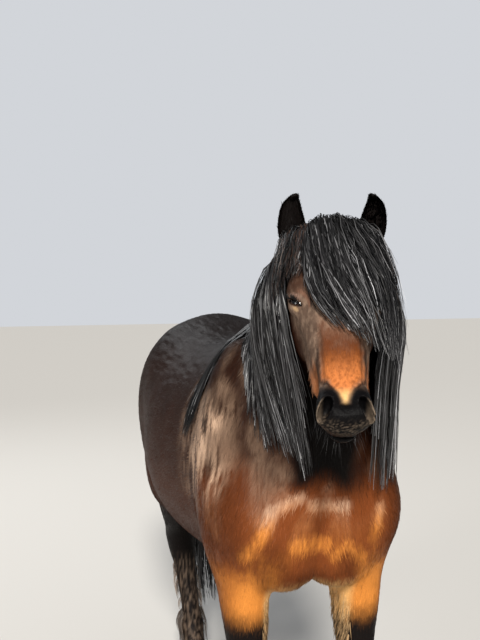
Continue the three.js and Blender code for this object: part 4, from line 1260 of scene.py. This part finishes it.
# Grid of the skin: where each stretch of its lines starts and ends, and their distance
FINE_STEP, PLAIN_STEP = 2.8, 9
GRID_X = [(-276, -150, PLAIN_STEP), (-150, 96, FINE_STEP), (96, 285, PLAIN_STEP)]
GRID_Y = [(-870, -585, FINE_STEP), (-585, 640, PLAIN_STEP)]
GRID_Z = [(30, 905, PLAIN_STEP), (905, 1320, FINE_STEP)]

# The skin's points, faces, normals and colours, kept for the coat to grow on
skin = {}


class PONY_OT_skin(bpy.types.Operator):
    """One skin over the whole body, from the same field as the solids"""

    bl_idname = "pony.skin"
    bl_label = "Skin"

    def execute(self, context):
        depth = MM * context.scene.pony_sizes.skin_depth

        def field(p):
            return flesh_field(p) + depth

        lines = [spaced(parts) for parts in (GRID_X, GRID_Y, GRID_Z)]
        points, faces = net(sampled(field, *lines), *lines)
        slope = gradient(field, points)
        points = points - np.clip(field(points), -3, 3)[:, None] * unit(slope)
        colours = markings(points, context.scene.pony_looks)
        normals = unit(slope)
        skin.update(points=points, faces=faces, normals=normals, colours=colours)
        piece = make_mesh("pony_skin", points, [faces], colours)
        body = smoothstep(in_head(points)[:, 1], 0, -60)[:, None]
        shine = unit(normals + body * ruffle(points, normals, lay_of(points, normals)))
        piece.data.normals_split_custom_set_from_vertices(shine.tolist())
        dress(piece, finish("pony_coat_skin"), "coat", *SKIN_NODES)
        return {"FINISHED"}


def on_face(p):
    """Whether places on the skin belong to the head."""
    return (p[:, 1] < -545) & (p[:, 2] > 880) & (head_field(p, False) < 6)


def scatter(rng, weight, count):
    """Random places on the skin, more where a weight is high: place, normal and colour."""
    p, faces = skin["points"], skin["faces"]
    a, b, c, d = (p[faces[:, k]] for k in range(4))
    area = np.linalg.norm(np.cross(c - a, d - b), axis=1)
    chance = area * weight(p[faces].mean(1))
    pick = rng.choice(len(faces), count, p=chance / chance.sum())
    u, v = rng.random((2, count, 1))
    at = lerp(lerp(a[pick], b[pick], u), lerp(d[pick], c[pick], u), v)
    normal = unit(skin["normals"][faces[pick]].mean(1))
    return at, normal, skin["colours"][faces[pick]].mean(1)


def round_uv(p, origin, axis, side, length):
    """An unwrap of the skin round an axis: the turn about it and the place along it."""
    d = p - origin
    up = np.cross(axis, side)
    angle = np.arctan2(d @ up, d @ side) / (2 * math.pi) + 0.5
    return np.c_[lerp(0.02, 0.98, angle), lerp(0.02, 0.98, np.clip(d @ axis / length, 0, 1))]


def tufts(name, at, normal, lay, length, width, lift, colours, uv, tilt=0.0):
    """Short pointed tufts, each a thin wedge that lies along the skin and shines as one."""
    n = len(at)
    rng = np.random.default_rng(n)
    shading = np.repeat(unit(normal + tilt + 0.12 * rng.normal(size=(n, 3))), 4, axis=0)
    across = unit(np.cross(normal, lay))
    base = at - 0.4 * normal
    length = length[:, None]
    width = width[:, None]
    points = np.stack([
        base - across * width / 2,
        base + across * width / 2,
        at + lay * length * 0.3 + normal * (width * 0.14 + lift[:, None] * 0.4),
        at + lay * length + normal * lift[:, None]], axis=1)
    index = np.arange(4 * n).reshape(n, 4)
    faces = np.concatenate([index[:, side] for side in ([0, 2, 1], [0, 3, 2], [1, 2, 3], [0, 1, 3])])
    tint = np.repeat(colours, 4, axis=0)
    corner = np.array([(-0.5, 0), (0.5, 0), (0, 0.3), (0, 1)]) * PATCH_SIZE
    spread = (uv[:, None, :] + corner[None]).reshape(-1, 2)
    piece = make_mesh(name, points.reshape(-1, 3), [faces], tint, spread)
    piece.data.normals_split_custom_set_from_vertices(shading.tolist())
    return piece


# Regions of the short coat and the number of tufts in each
TUFT_COUNTS = {"torso_left": 38000, "torso_right": 38000, "legs": 17000, "head": 30000, "forearms": 2600}
FIRST_COAT_SEED = 100
LEG_TOP, LEG_FOOT = 480, 60     # heights between which the legs' tufts grow


class PONY_OT_coat(bpy.types.Operator):
    """The short coat, in tufts that lie along the body"""

    bl_idname = "pony.coat"
    bl_label = "Coat"

    def execute(self, context):
        inks = inks_of(context.scene.pony_looks)
        coat_length = MM * context.scene.pony_sizes.coat_length
        for seed, (region, count) in enumerate(TUFT_COUNTS.items(), FIRST_COAT_SEED):
            rng = np.random.default_rng(seed)
            at, normal, colour = scatter(rng, getattr(self, region), count)
            lay = lay_of(at, normal)
            lay = unit(lay + 0.16 * np.cross(normal, lay) * rng.normal(size=(count, 1)))
            scale, colour = self.fitted(region, rng, at, colour, inks)
            length = coat_length * scale * lerp(0.7, 1.3, rng.random(count))
            width = length * 0.1 + 0.5
            highest = 0.3 if region == "forearms" else 0.04
            lift = length * lerp(0, highest, rng.random(count))
            tone = lerp(0.78, 1.28, rng.random((count, 1)))
            uv = self.unwrapped(region, at)
            tilt = ruffle(at, normal, lay) * (region != "head")
            piece = tufts(f"coat_{region}", at, normal, lay, length, width, lift, colour * tone, uv, tilt)
            dress(piece, finish("pony_coat_tufts"), "coat")
        return {"FINISHED"}

    @staticmethod
    def torso_left(p):
        """The left half of the body and neck."""
        return (p[:, 2] > LEG_TOP) * (p[:, 0] >= 0) * ~on_face(p)

    @staticmethod
    def torso_right(p):
        """The right half of the body and neck."""
        return (p[:, 2] > LEG_TOP) * (p[:, 0] < 0) * ~on_face(p)

    @staticmethod
    def legs(p):
        """The legs below the elbow and the stifle, down to the hooves."""
        return (p[:, 2] <= LEG_TOP) * (p[:, 2] > LEG_FOOT)

    @staticmethod
    def head(p):
        """The head, but for its eyes and the tip of the nose."""
        q = in_head(p)
        eye = np.linalg.norm(mirrored(q) - EYE_AT, axis=1)
        return on_face(p) * (q[:, 1] < 405) * (eye > EYE_RADIUS + 5)

    @staticmethod
    def forearms(p):
        """The inner side and the back of the forearms, where the coat is longer."""
        inner = (np.abs(p[:, 0]) < 94) * (p[:, 1] > -470) * (p[:, 1] < -330)
        return inner * smoothstep(p[:, 2], 360, 400) * smoothstep(p[:, 2], 520, 450)

    @staticmethod
    def fitted(region, rng, at, colour, inks):
        """How long a region's tufts are, as a part of the coat's length, and their colour."""
        if region == "head":
            return lerp(0.5, 0.16, smoothstep(in_head(at)[:, 1], 315, 360)), colour
        if region == "forearms":
            scale = lerp(0.7, 1.9, rng.random(len(at)) ** 2)
            pale = inks["cream"] * (0.8, 0.85, 1.1)
            return scale, mix(colour, pale, 0.7 * rng.random(len(at)))
        return lerp(0.62, 1.0, smoothstep(at[:, 2], 300, 600)), colour

    @staticmethod
    def unwrapped(region, at):
        """A region's UV, round the head, the legs or the body."""
        if region == "head":
            return round_uv(at, on_head(-40, -70, 0), FACE_DOWN, HEAD_LEFT, 480)
        if region in ("legs", "forearms"):
            return round_uv(at, np.array([0, 0, 40.0]), Z, X, 460)
        return round_uv(at, np.array([0, -640.0, 760]), Y, X, 1300)


class PONY_OT_mane(bpy.types.Operator):
    """The mane of both sides and the bundle that lies over the withers"""

    bl_idname = "pony.mane"
    bl_label = "Mane"

    def execute(self, context):
        inks, sizes = inks_of(context.scene.pony_looks), context.scene.pony_sizes
        for name, guides, flip, seed, spread in (
                ("mane_right", MANE_RIGHT, -1, 7, 1.0), ("mane_left", MANE_LEFT, 1, 8, 1.0),
                ("mane_withers", WITHERS, -1, 9, 1.5)):
            rng = np.random.default_rng(seed)
            places = [[(flip * x, y, z) for x, y, z in guide[1:]] for guide in guides]
            shape = (MM * spread * sizes.clump, MM * spread * sizes.clump_tip, MM * sizes.mane_width)
            root_of = neck_root(guides, flip)
            grow(name, rng, inks, sizes.rows, places, -flip, root_of, shape, STYLES[name])
        return {"FINISHED"}


class PONY_OT_forelock(bpy.types.Operator):
    """The forelock, swept over the forehead and the left eye, and the hair of the temples"""

    bl_idname = "pony.forelock"
    bl_label = "Forelock"

    def execute(self, context):
        inks, rows = inks_of(context.scene.pony_looks), context.scene.pony_sizes.rows
        self.forelock(inks, rows)
        for side, flip in SIDES.items():
            self.temple(inks, rows, side, flip)
        return {"FINISHED"}

    @staticmethod
    def forelock(inks, rows):
        """Hair from between the ears over the forehead."""
        rng = np.random.default_rng(23)
        places = [[on_head(down, out, left) for left, down, out in guide] for guide in FORELOCK]

        def root_of(u, layer):
            start = on_head(46 * layer - 22, -60, lerp(-36, 40, u))
            lean = unit(FACE_OUT + lerp(-0.25, 0.3, u)[:, None] * HEAD_LEFT)
            return leave(plain_flesh, start, lean, 200), lean

        grow("forelock", rng, inks, rows, places, -1, root_of, FORELOCK_SHAPE, STYLES["forelock"])

    @staticmethod
    def temple(inks, rows, side, flip):
        """Hair from before an ear's base over the temple to the mane."""
        rng = np.random.default_rng(27 + flip)
        places = [[on_head(down, out, flip * left) for left, down, out in guide] for guide in TEMPLE]

        def root_of(u, layer):
            start = on_head(16 * layer - 12 - 20 * u, lerp(-40, -70, u), flip * lerp(40, 60, u))
            outwards = FACE_OUT * lerp(1, 0.4, u)[:, None]
            lean = unit(outwards + flip * lerp(0.2, 0.8, u)[:, None] * HEAD_LEFT)
            return leave(plain_flesh, start, lean, 200), lean

        name = f"temple_hair_{side}"
        grow(name, rng, inks, rows, places, -flip, root_of, TEMPLE_SHAPE, STYLES["temple_hair"])


class PONY_OT_tail(bpy.types.Operator):
    """The tail: its dock under long hair that hangs from all round it"""

    bl_idname = "pony.tail"
    bl_label = "Tail"

    def execute(self, context):
        inks = inks_of(context.scene.pony_looks)
        self.hair(inks, context.scene.pony_sizes.rows)
        self.dock(inks)
        return {"FINISHED"}

    @staticmethod
    def hair(inks, rows):
        """Clumps from all round the dock that keep their place round the tail as they fall."""
        rng = np.random.default_rng(41)
        count, hairs = 100, 18
        turn = lerp(-math.pi, math.pi, (np.arange(count) + rng.random(count)) / count)
        r = lerp(0.25, 1.0, rng.random(count) ** 0.6)
        t = lerp(0.2, 0.97, np.clip(1 - r + 0.25 * rng.random(count), 0, 1))
        start = catmull(len(DOCK), t) @ DOCK
        ray = unit(np.c_[np.sin(turn), np.maximum(np.cos(turn), -0.2), 0 * turn])
        root = leave(dock_field, start, ray, 80, 4)
        high = root[:, 2] - 14
        low = lerp(high, TAIL_END, lerp(1, 0.72, rng.random(count) ** 1.5))
        z = lerp(high[:, None], low[:, None], np.linspace(0, 1, rows - 2)[None])
        x, y, half_x, half_y = np.moveaxis(stations_at(TAIL_STATIONS, -z), -1, 0)
        sway = turn[:, None] + 0.25 * np.sin(z / 90 + 6 * rng.random((count, 1)))
        across = x + r[:, None] * half_x * np.sin(sway)
        behind = y + r[:, None] * half_y * np.cos(sway)
        p = pushed(tail_guard, np.stack([across, behind, z], -1), CLUMP_ROOM)
        course = np.concatenate([np.stack([root - ROOT_DEPTH * ray, root + 5 * ray], 1), p], 1)
        wide = np.repeat(np.c_[np.cos(turn), -np.sin(turn), 0 * turn][:, None], rows, 1)
        out = np.repeat(ray[:, None], rows, 1)
        paths, wides, widths = hang(rng, course, wide, out, hairs, TAIL_SHAPE, 0.35, 2.5, 22)
        paths[..., 2] = np.maximum(paths[..., 2], 14)
        colours = hair_colours(rng, inks, count, hairs, rows, 0.1)
        root_uv = np.repeat(np.c_[turn / (2 * math.pi) + 0.5, lerp(0.05, 0.9, t)], hairs, 0)
        piece = strands("tail_hair", paths, wides, widths, HAIR_RIDGE, colours, root_uv, 0.6)
        dress(piece, finish("pony_long_hair"), "mane", "tail")

    @staticmethod
    def dock(inks):
        """The bent, tapered dock under the hair."""
        weights = catmull(len(DOCK), np.linspace(0, 1, 40))
        line = weights @ DOCK
        radius = weights @ DOCK_RADII
        radius[[0, -1]] = 1
        back = unit(np.cross(np.gradient(line, axis=0), X))
        angle = turns(24)[None, :, None]
        around = np.cos(angle) * X + np.sin(angle) * back[:, None]
        ring = line[:, None] + radius[:, None, None] * around
        piece = tube("tail_dock", ring, np.broadcast_to(inks["points"], ring.shape))
        dress(piece, finish("pony_coat_skin"), "coat")


# Feather of a leg: its stations and seed, and for fetlock and cannon the number of clumps, their
# heights, how far round the leg they reach, their lengths and how pale the hairs are
FEATHERS = {
    "fore": (FORE_STATIONS, 61, (46, (112, 160), (-2.0, 2.0), (0.8, 1.15), 0.5),
             (44, (165, 268), (-1.7, 1.7), (0.55, 0.8), 0.6)),
    "hind": (HIND_STATIONS, 71, (46, (112, 160), (-2.0, 2.0), (0.8, 1.15), 0.5),
             (44, (165, 300), (-1.7, 1.7), (0.55, 0.8), 1.1))}


class PONY_OT_feather(bpy.types.Operator):
    """Long hair behind the fetlocks and along the cannons"""

    bl_idname = "pony.feather"
    bl_label = "Feather"

    def execute(self, context):
        inks = inks_of(context.scene.pony_looks)
        for side, flip in SIDES.items():
            for end, (stations, seed, *stretches) in FEATHERS.items():
                rng = np.random.default_rng(seed + flip)
                grown = [self.fringe(rng, flip, stations, *stretch[:-1]) for stretch in stretches]
                tints = [lerp(inks["hair"], pale * inks["grizzle"], rng.random((len(hairs[0]), 1)) ** 2)
                         for hairs, (*_, pale) in zip(grown, stretches)]
                paths, wides, widths, spots = (np.concatenate(parts) for parts in zip(*grown))
                name = f"feather_{end}_{side}"
                piece = strands(name, paths, wides, widths, HAIR_RIDGE, np.concatenate(tints), spots)
                dress(piece, finish("pony_long_hair"), "lower_leg")
        return {"FINISHED"}

    @staticmethod
    def fringe(rng, flip, stations, count, heights, angles, lengths):
        """Hairs that grow from a stretch of a leg: paths, sides, widths and places on its skin."""
        hairs, rows = 12, 7
        turn = lerp(*angles, rng.random(count))
        ray = np.c_[np.sin(turn), np.cos(turn), 0 * turn]
        wide = np.c_[np.cos(turn), -np.sin(turn), 0 * turn]
        top = lerp(*heights, rng.random(count))
        size = lerp(*lengths, rng.random(count)) * lerp(1, 0.75, np.abs(turn) / 2)
        fall, over = (catmull(len(FEATHER_COURSE), np.linspace(0, 1, rows)) @ FEATHER_COURSE).T
        z = np.maximum(top[:, None] - size[:, None] * fall, 24)
        x, back, front, _ = np.moveaxis(stations_at(stations, z), -1, 0)
        start = np.stack([flip * x, (back + front) / 2, z], -1)
        rays = np.repeat(ray[:, None], rows, 1)
        foot = leave(body_field, start.reshape(-1, 3), rays.reshape(-1, 3), 120, 6)
        lifted = np.where(over < 0, over, over * lerp(0.5, 1.2, rng.random((count, 1))))
        course = foot.reshape(start.shape) + lifted[..., None] * rays
        wides = np.repeat(wide[:, None], rows, 1)
        paths, wides, widths = hang(rng, course, wides, rays, hairs, FEATHER_SHAPE, 0.5, 0.0, 6)
        paths[..., 2] = np.maximum(paths[..., 2], 8)
        return paths, wides, widths, np.repeat(np.c_[turn / 6.3 + 0.5, top / 500], hairs, 0)


class PONY_OT_ears(bpy.types.Operator):
    """The ears: cups that open forward, with their tips bent in, and hair inside"""

    bl_idname = "pony.ears"
    bl_label = "Ears"

    def execute(self, context):
        inks = inks_of(context.scene.pony_looks)
        for side, flip in SIDES.items():
            base, tip = ear_place(flip)
            up = unit(tip - base)
            out = flip * HEAD_LEFT
            forward = unit(np.cross(out, up)) * flip
            if forward @ FACE_OUT < 0:
                forward = -forward
            rows, around = 44, 48
            t = np.linspace(0, 1, rows)
            angle = turns(around)[None, :, None]
            bend, half = stations_at(EAR_STATIONS, t).T
            half[-1] = 1.0
            middle = base + np.outer(lerp(-EAR_SINK, EAR_LENGTH, t), up) + np.outer(bend, out)
            half = half[:, None, None]
            ring = half * np.cos(angle) * out + EAR_DEPTH * half * np.sin(angle) * forward
            open_part = (smoothstep(t, 0.16, 0.34) * smoothstep(t, 1.0, 0.86))[:, None, None]
            hollow = smoothstep(np.sin(angle), 0.0, 0.85) * open_part
            cup = middle[:, None] + ring - 1.5 * EAR_DEPTH * half * hollow * forward
            tone = inks["points"] * lerp(0.6, 0.9, hollow * noise(cup, 9, 51)[..., None])
            piece = tube(f"ear_{side}_skin", cup, tone)
            dress(piece, finish("pony_coat_skin"), "ear", f"ear_{side}")
            self.hair(inks, side, cup, hollow[..., 0], forward, np.random.default_rng(91 + flip))
        return {"FINISHED"}

    @staticmethod
    def hair(inks, side, cup, hollow, forward, rng):
        """Short hair over an ear's back and rim, and longer hair inside it."""
        rows, around = cup.shape[:2]
        count = 2200
        i = rng.integers(7, rows - 2, count)
        j = rng.integers(0, around, count)
        beside = (j + 1) % around
        root = lerp(cup[i, j], cup[i + 1, beside], rng.random((count, 1)))
        rise = unit(cup[i + 1, j] - cup[i, j])
        normal = unit(np.cross(unit(cup[i, beside] - cup[i, j]), rise))
        inside = hollow[i, j] > 0.5
        lay = unit(rise + 0.3 * rng.normal(size=(count, 3)) + 0.5 * inside[:, None] * forward)
        length = lerp(3, 6, rng.random(count)) + 9 * inside * rng.random(count)
        colour = inks["points"] * lerp(0.5, 0.8, rng.random((count, 1)))
        uv = np.c_[j / around, i / rows]
        lift = lerp(0.1, 0.5, rng.random(count))
        width = 0.12 * length + 0.3
        piece = tufts(f"ear_{side}_hair", root, normal, lay, length, width, lift, colour, uv)
        dress(piece, finish("pony_coat_tufts"), "ear")


class PONY_OT_eyes(bpy.types.Operator):
    """The eyes, dark and wet, with a wide pupil"""

    bl_idname = "pony.eyes"
    bl_label = "Eyes"

    def execute(self, context):
        inks = inks_of(context.scene.pony_looks)
        left, down, out = EYE_AT
        for side, flip in SIDES.items():
            centre = on_head(down, out, flip * left)
            look = (EYE_LOOK * (flip, 1, 1)) @ HEAD_AXES
            along = (EYE_ALONG * (flip, 1, 1)) @ HEAD_AXES
            top = unit(np.cross(look, along))
            polar = np.linspace(0.001, math.pi - 0.001, 48)[:, None, None]
            angle = turns(64)[None, :, None]
            ring = np.cos(polar) * look + np.sin(polar) * (np.cos(angle) * along + np.sin(angle) * top)
            bulge = 1 + 0.05 * np.exp(-(polar / 0.5) ** 2)
            points = centre + EYE_RADIUS * bulge * ring
            colour = self.colour(inks, ring - (ring @ look)[..., None] * look, along, top)
            if flip < 0:
                points, colour = points[::-1], colour[::-1]
            piece = tube(f"eye_{side}_ball", points, colour)
            dress(piece, finish("pony_eye"), "eye", f"eye_{side}")
        return {"FINISHED"}

    @staticmethod
    def colour(inks, flat, along, top):
        """The eye's colour at places seen from its front: a long pupil, the iris and its rim."""
        pupil = np.hypot((flat @ along) / 0.42, (flat @ top) / 0.24)
        middle = np.linalg.norm(flat, axis=-1)
        colour = mix(inks["iris"], inks["iris_edge"], smoothstep(middle, 0.3, 0.7))
        colour = mix(colour, inks["pupil"], smoothstep(pupil, 1.1, 0.9))
        return mix(colour, inks["eye_white"], smoothstep(middle, 0.82, 0.95))


class PONY_OT_whiskers(bpy.types.Operator):
    """Whiskers on the lips and chin, and the lashes"""

    bl_idname = "pony.whiskers"
    bl_label = "Whiskers"

    def execute(self, context):
        inks = inks_of(context.scene.pony_looks)
        self.whiskers(inks)
        self.lashes(inks)
        return {"FINISHED"}

    @staticmethod
    def whiskers(inks):
        """Single stiff hairs that droop from lips and chin."""
        rng = np.random.default_rng(83)
        count, rows = 54, 7
        side = rng.choice([-1, 1], count)
        left = side * lerp(4, 44, rng.random(count))
        down = lerp(352, 404, rng.random(count))
        out = lerp(-100, -48, rng.random(count))
        start = on_head(down * 0.92, np.full(count, -60), left * 0.2)
        ray = unit(on_head(down, out, left) - start)
        root = leave(plain_flesh, start, ray, 160, 6)
        droop = unit(ray + 0.25 * FACE_DOWN + 0.2 * rng.normal(size=(count, 3)))
        length = lerp(12, 38, rng.random(count) ** 1.5)
        t = np.linspace(0, 1, rows)[None, :, None]
        bend = -Z * (length * 0.35)[:, None, None] * t ** 2
        paths = root[:, None] - 3 * ray[:, None] + (length[:, None] * droop)[:, None] * t + bend
        wides = np.repeat(unit(np.cross(droop, Z))[:, None], rows, 1)
        widths = np.broadcast_to(0.6 * smoothstep(np.linspace(0, 1, rows), 1.3, 0.2), (count, rows))
        colours = np.repeat(3 * inks["hair"][None], count, 0)
        spots = np.c_[left / 120 + 0.5, down / 420]
        piece = strands("whiskers", paths, wides, widths, STIFF_RIDGE, colours, spots)
        dress(piece, finish("pony_long_hair"), "face")

    @staticmethod
    def lashes(inks):
        """Lashes along the upper lids, bent downwards."""
        rng = np.random.default_rng(87)
        count, rows = 46, 6
        _, middle, radius = UPPER_LID
        parts = []
        for flip in SIDES.values():
            along = lerp(-15, 14, rng.random(count))
            top = np.sqrt(radius ** 2 - along ** 2) + middle
            reach = EYE_RADIUS + 3.4
            look = np.sqrt(np.maximum(reach ** 2 - along ** 2 - top ** 2, 1))
            axes = np.array([EYE_ALONG, EYE_TOP, EYE_LOOK]) * (flip, 1, 1)
            base = EYE_AT * (flip, 1, 1) + np.c_[along, top, look] @ axes
            way = np.c_[along * 0.03, np.full(count, 0.35), np.ones(count)]
            way = unit(way + 0.12 * rng.normal(size=(count, 3))) @ axes
            t = np.linspace(0, 1, rows)[None, :, None]
            length = lerp(9, 15, rng.random(count))[:, None, None]
            curl = axes[1] * (length * 0.55 * t * (1 - t) * 2)
            parts.append(POLL + (base[:, None] + way[:, None] * length * t - curl) @ HEAD_AXES)
        paths = np.concatenate(parts)
        wides = np.broadcast_to(HEAD_LEFT, paths.shape)
        widths = np.broadcast_to(smoothstep(np.linspace(0, 1, rows), 1.3, 0.2), paths.shape[:2])
        colours = np.repeat(inks["hair"][None], len(paths), 0)
        spots = np.c_[rng.random(len(paths)), np.full(len(paths), 0.5)]
        piece = strands("lashes", paths, wides, widths, STIFF_RIDGE, colours, spots)
        dress(piece, finish("pony_long_hair"), "face")


class PONY_OT_hooves(bpy.types.Operator):
    """The hooves, with growth rings and a coronet"""

    bl_idname = "pony.hooves"
    bl_label = "Hooves"

    def execute(self, context):
        inks = inks_of(context.scene.pony_looks)
        for side, flip in SIDES.items():
            for end, hoof in (("fore", FORE_HOOF), ("hind", HIND_HOOF)):
                piece = self.horn(inks, f"hoof_{end}_{side}_horn", flip, hoof)
                dress(piece, finish("pony_hoof"), "hoof", f"hoof_{end}_{side}")
        return {"FINISHED"}

    @staticmethod
    def horn(inks, name, flip, hoof):
        """A hoof that narrows from its sole to the coronet, with growth rings and a flatter heel."""
        t = np.linspace(0, 1, 26)[:, None]
        angle = turns(64)
        front, back, half = (lerp(a, b, t) for a, b in zip(hoof["sole"], hoof["coronet"]))
        heel = 1 - 0.16 * np.maximum(np.sin(angle), 0) ** 3
        rings = 1 + 0.008 * np.sin(t * 34) * (np.sin(angle) < 0.9)
        edge_in = 1 - 0.05 * smoothstep(t, 0.05, 0)
        spread = heel * rings * edge_in
        across = flip * hoof["x"] + half * np.cos(angle) * spread
        along = (front + back) / 2 + (back - front) / 2 * np.sin(angle) * spread
        points = np.stack([across, along, np.broadcast_to(HOOF_HEIGHT * t, spread.shape)], -1)
        tone = lerp(0.75, 1.25, noise(points * (0.2, 0.2, 1), 4, 31))[..., None]
        colour = mix(inks["horn_low"], inks["horn_high"], smoothstep(t, 0.2, 0.95)) * tone
        return tube(name, points, colour)


# Stage: the floor's half side in metres, what the lights aim at, and the lamps' places
FLOOR_REACH = 14
LIGHT_AIM = Vector((0, -0.3, 0.75))
KEY_PLACE = (-1.9, -8.6, 5.9)
FILL_LAMPS = {
    "side": ((-4.6, -2.6, 3.0), 1.0, (1, 0.98, 0.96)), "back": ((-1.2, 3.4, 3.2), 0.6, (0.96, 0.98, 1))}
SKY_SEEN = 0.7

# Camera: its place in the maker's frame, turn, tilt and lens
CAMERA_AT = (-607.0, -2307.0, 1213.0)
CAMERA_YAW = math.radians(14)
CAMERA_PITCH = math.radians(4)
SENSOR = 36
LENS = SENSOR * 962 / 640


class PONY_OT_stage(bpy.types.Operator):
    """A pale floor, soft lights and the camera"""

    bl_idname = "pony.stage"
    bl_label = "Stage"

    def execute(self, context):
        stage = context.scene.pony_stage
        self.floor(context.scene, stage)
        key = self.lamp(context.scene, "key", "SUN", KEY_PLACE, stage.key_power, (1, 0.96, 0.9))
        key.angle = 0.2
        for name, (place, share, tint) in FILL_LAMPS.items():
            fill = self.lamp(context.scene, name, "AREA", place, share * stage.fill_power, tint)
            fill.shape = "DISK"
            fill.size = 2.0
        self.sky(context.scene, stage)
        self.camera(context.scene)
        context.scene.view_settings.view_transform = "Standard"
        return {"FINISHED"}

    @staticmethod
    def floor(scene, stage):
        """A wide plain floor."""
        mesh = bpy.data.meshes.new("floor")
        corners = [(x * FLOOR_REACH, y * FLOOR_REACH, 0) for x, y in ((-1, -1), (1, -1), (1, 1), (-1, 1))]
        mesh.from_pydata(corners, [], [(0, 1, 2, 3)])
        floor = bpy.data.objects.new("floor", mesh)
        scene.collection.objects.link(floor)
        material, _, shader = new_material("pale_floor")
        shader.inputs["Base Color"].default_value = (*stage.floor, 1)
        shader.inputs["Roughness"].default_value = 0.8
        mesh.materials.append(material)

    @staticmethod
    def lamp(scene, name, kind, place, power, tint):
        """A light that stands at a place and is turned towards the pony."""
        light = bpy.data.lights.new(name, kind)
        light.energy = power
        light.color = tint
        lamp = bpy.data.objects.new(name, light)
        lamp.location = place
        lamp.rotation_euler = (LIGHT_AIM - lamp.location).to_track_quat("-Z", "Y").to_euler()
        scene.collection.objects.link(lamp)
        return light

    @staticmethod
    def sky(scene, stage):
        """Even light, and a paler sky where the camera sees it."""
        world = bpy.data.worlds.new("studio")
        world.use_nodes = True
        tree = world.node_tree
        background = tree.nodes["Background"]
        background.inputs["Color"].default_value = (0.92, 0.95, 1, 1)
        seen = node(tree, "ShaderNodeLightPath")
        strength = node(tree, "ShaderNodeMapRange")
        strength.inputs["To Min"].default_value = stage.sky
        strength.inputs["To Max"].default_value = SKY_SEEN
        wire(tree, (seen, "Is Camera Ray", strength, "Value"), (strength, "Result", background, "Strength"))
        scene.world = world

    @staticmethod
    def camera(scene):
        """A camera in front of the pony, a little to its right and higher than its chest."""
        data = bpy.data.cameras.new("camera")
        data.sensor_fit = "VERTICAL"
        data.sensor_height = SENSOR
        data.lens = LENS
        camera = bpy.data.objects.new("camera", data)
        upright = Matrix.Rotation(math.pi / 2 - CAMERA_PITCH, 4, "X")
        turned = Matrix.Rotation(-CAMERA_YAW, 4, "Z") @ upright
        camera.matrix_world = Matrix.Translation(Vector(to_frame(CAMERA_AT))) @ turned
        scene.collection.objects.link(camera)
        scene.camera = camera


class PONY_PT_panel(bpy.types.Panel):
    """Lists the pony's pieces"""

    bl_idname = "PONY_PT_panel"
    bl_label = "Shetland Pony"
    bl_space_type = "VIEW_3D"
    bl_region_type = "UI"
    bl_category = "Pony"

    def draw(self, context):
        for group in (context.scene.pony_looks, context.scene.pony_sizes, context.scene.pony_stage):
            box = self.layout.box()
            for key in group.bl_rna.properties.keys():
                if key not in ("rna_type", "name"):
                    box.prop(group, key)
        for operator in OPERATORS:
            self.layout.operator(operator.bl_idname)


GROUPS = {"pony_looks": PonyLooks, "pony_sizes": PonySizes, "pony_stage": PonyStage}
OPERATORS = (
    PONY_OT_skin, PONY_OT_coat, PONY_OT_mane, PONY_OT_forelock, PONY_OT_tail, PONY_OT_feather,
    PONY_OT_ears, PONY_OT_eyes, PONY_OT_whiskers, PONY_OT_hooves, PONY_OT_stage)


def register():
    for group in (*GROUPS.values(), *OPERATORS, PONY_PT_panel):
        bpy.utils.register_class(group)
    for name, group in GROUPS.items():
        setattr(bpy.types.Scene, name, bpy.props.PointerProperty(type=group))


def unregister():
    for name in GROUPS:
        delattr(bpy.types.Scene, name)
    for group in (PONY_PT_panel, *reversed(OPERATORS), *reversed(tuple(GROUPS.values()))):
        bpy.utils.unregister_class(group)


def main():
    """Build the pony and its stage."""
    register()
    for operator in OPERATORS:
        group, name = operator.bl_idname.split(".")
        getattr(getattr(bpy.ops, group), name)()


if __name__ == "__main__":
    main()
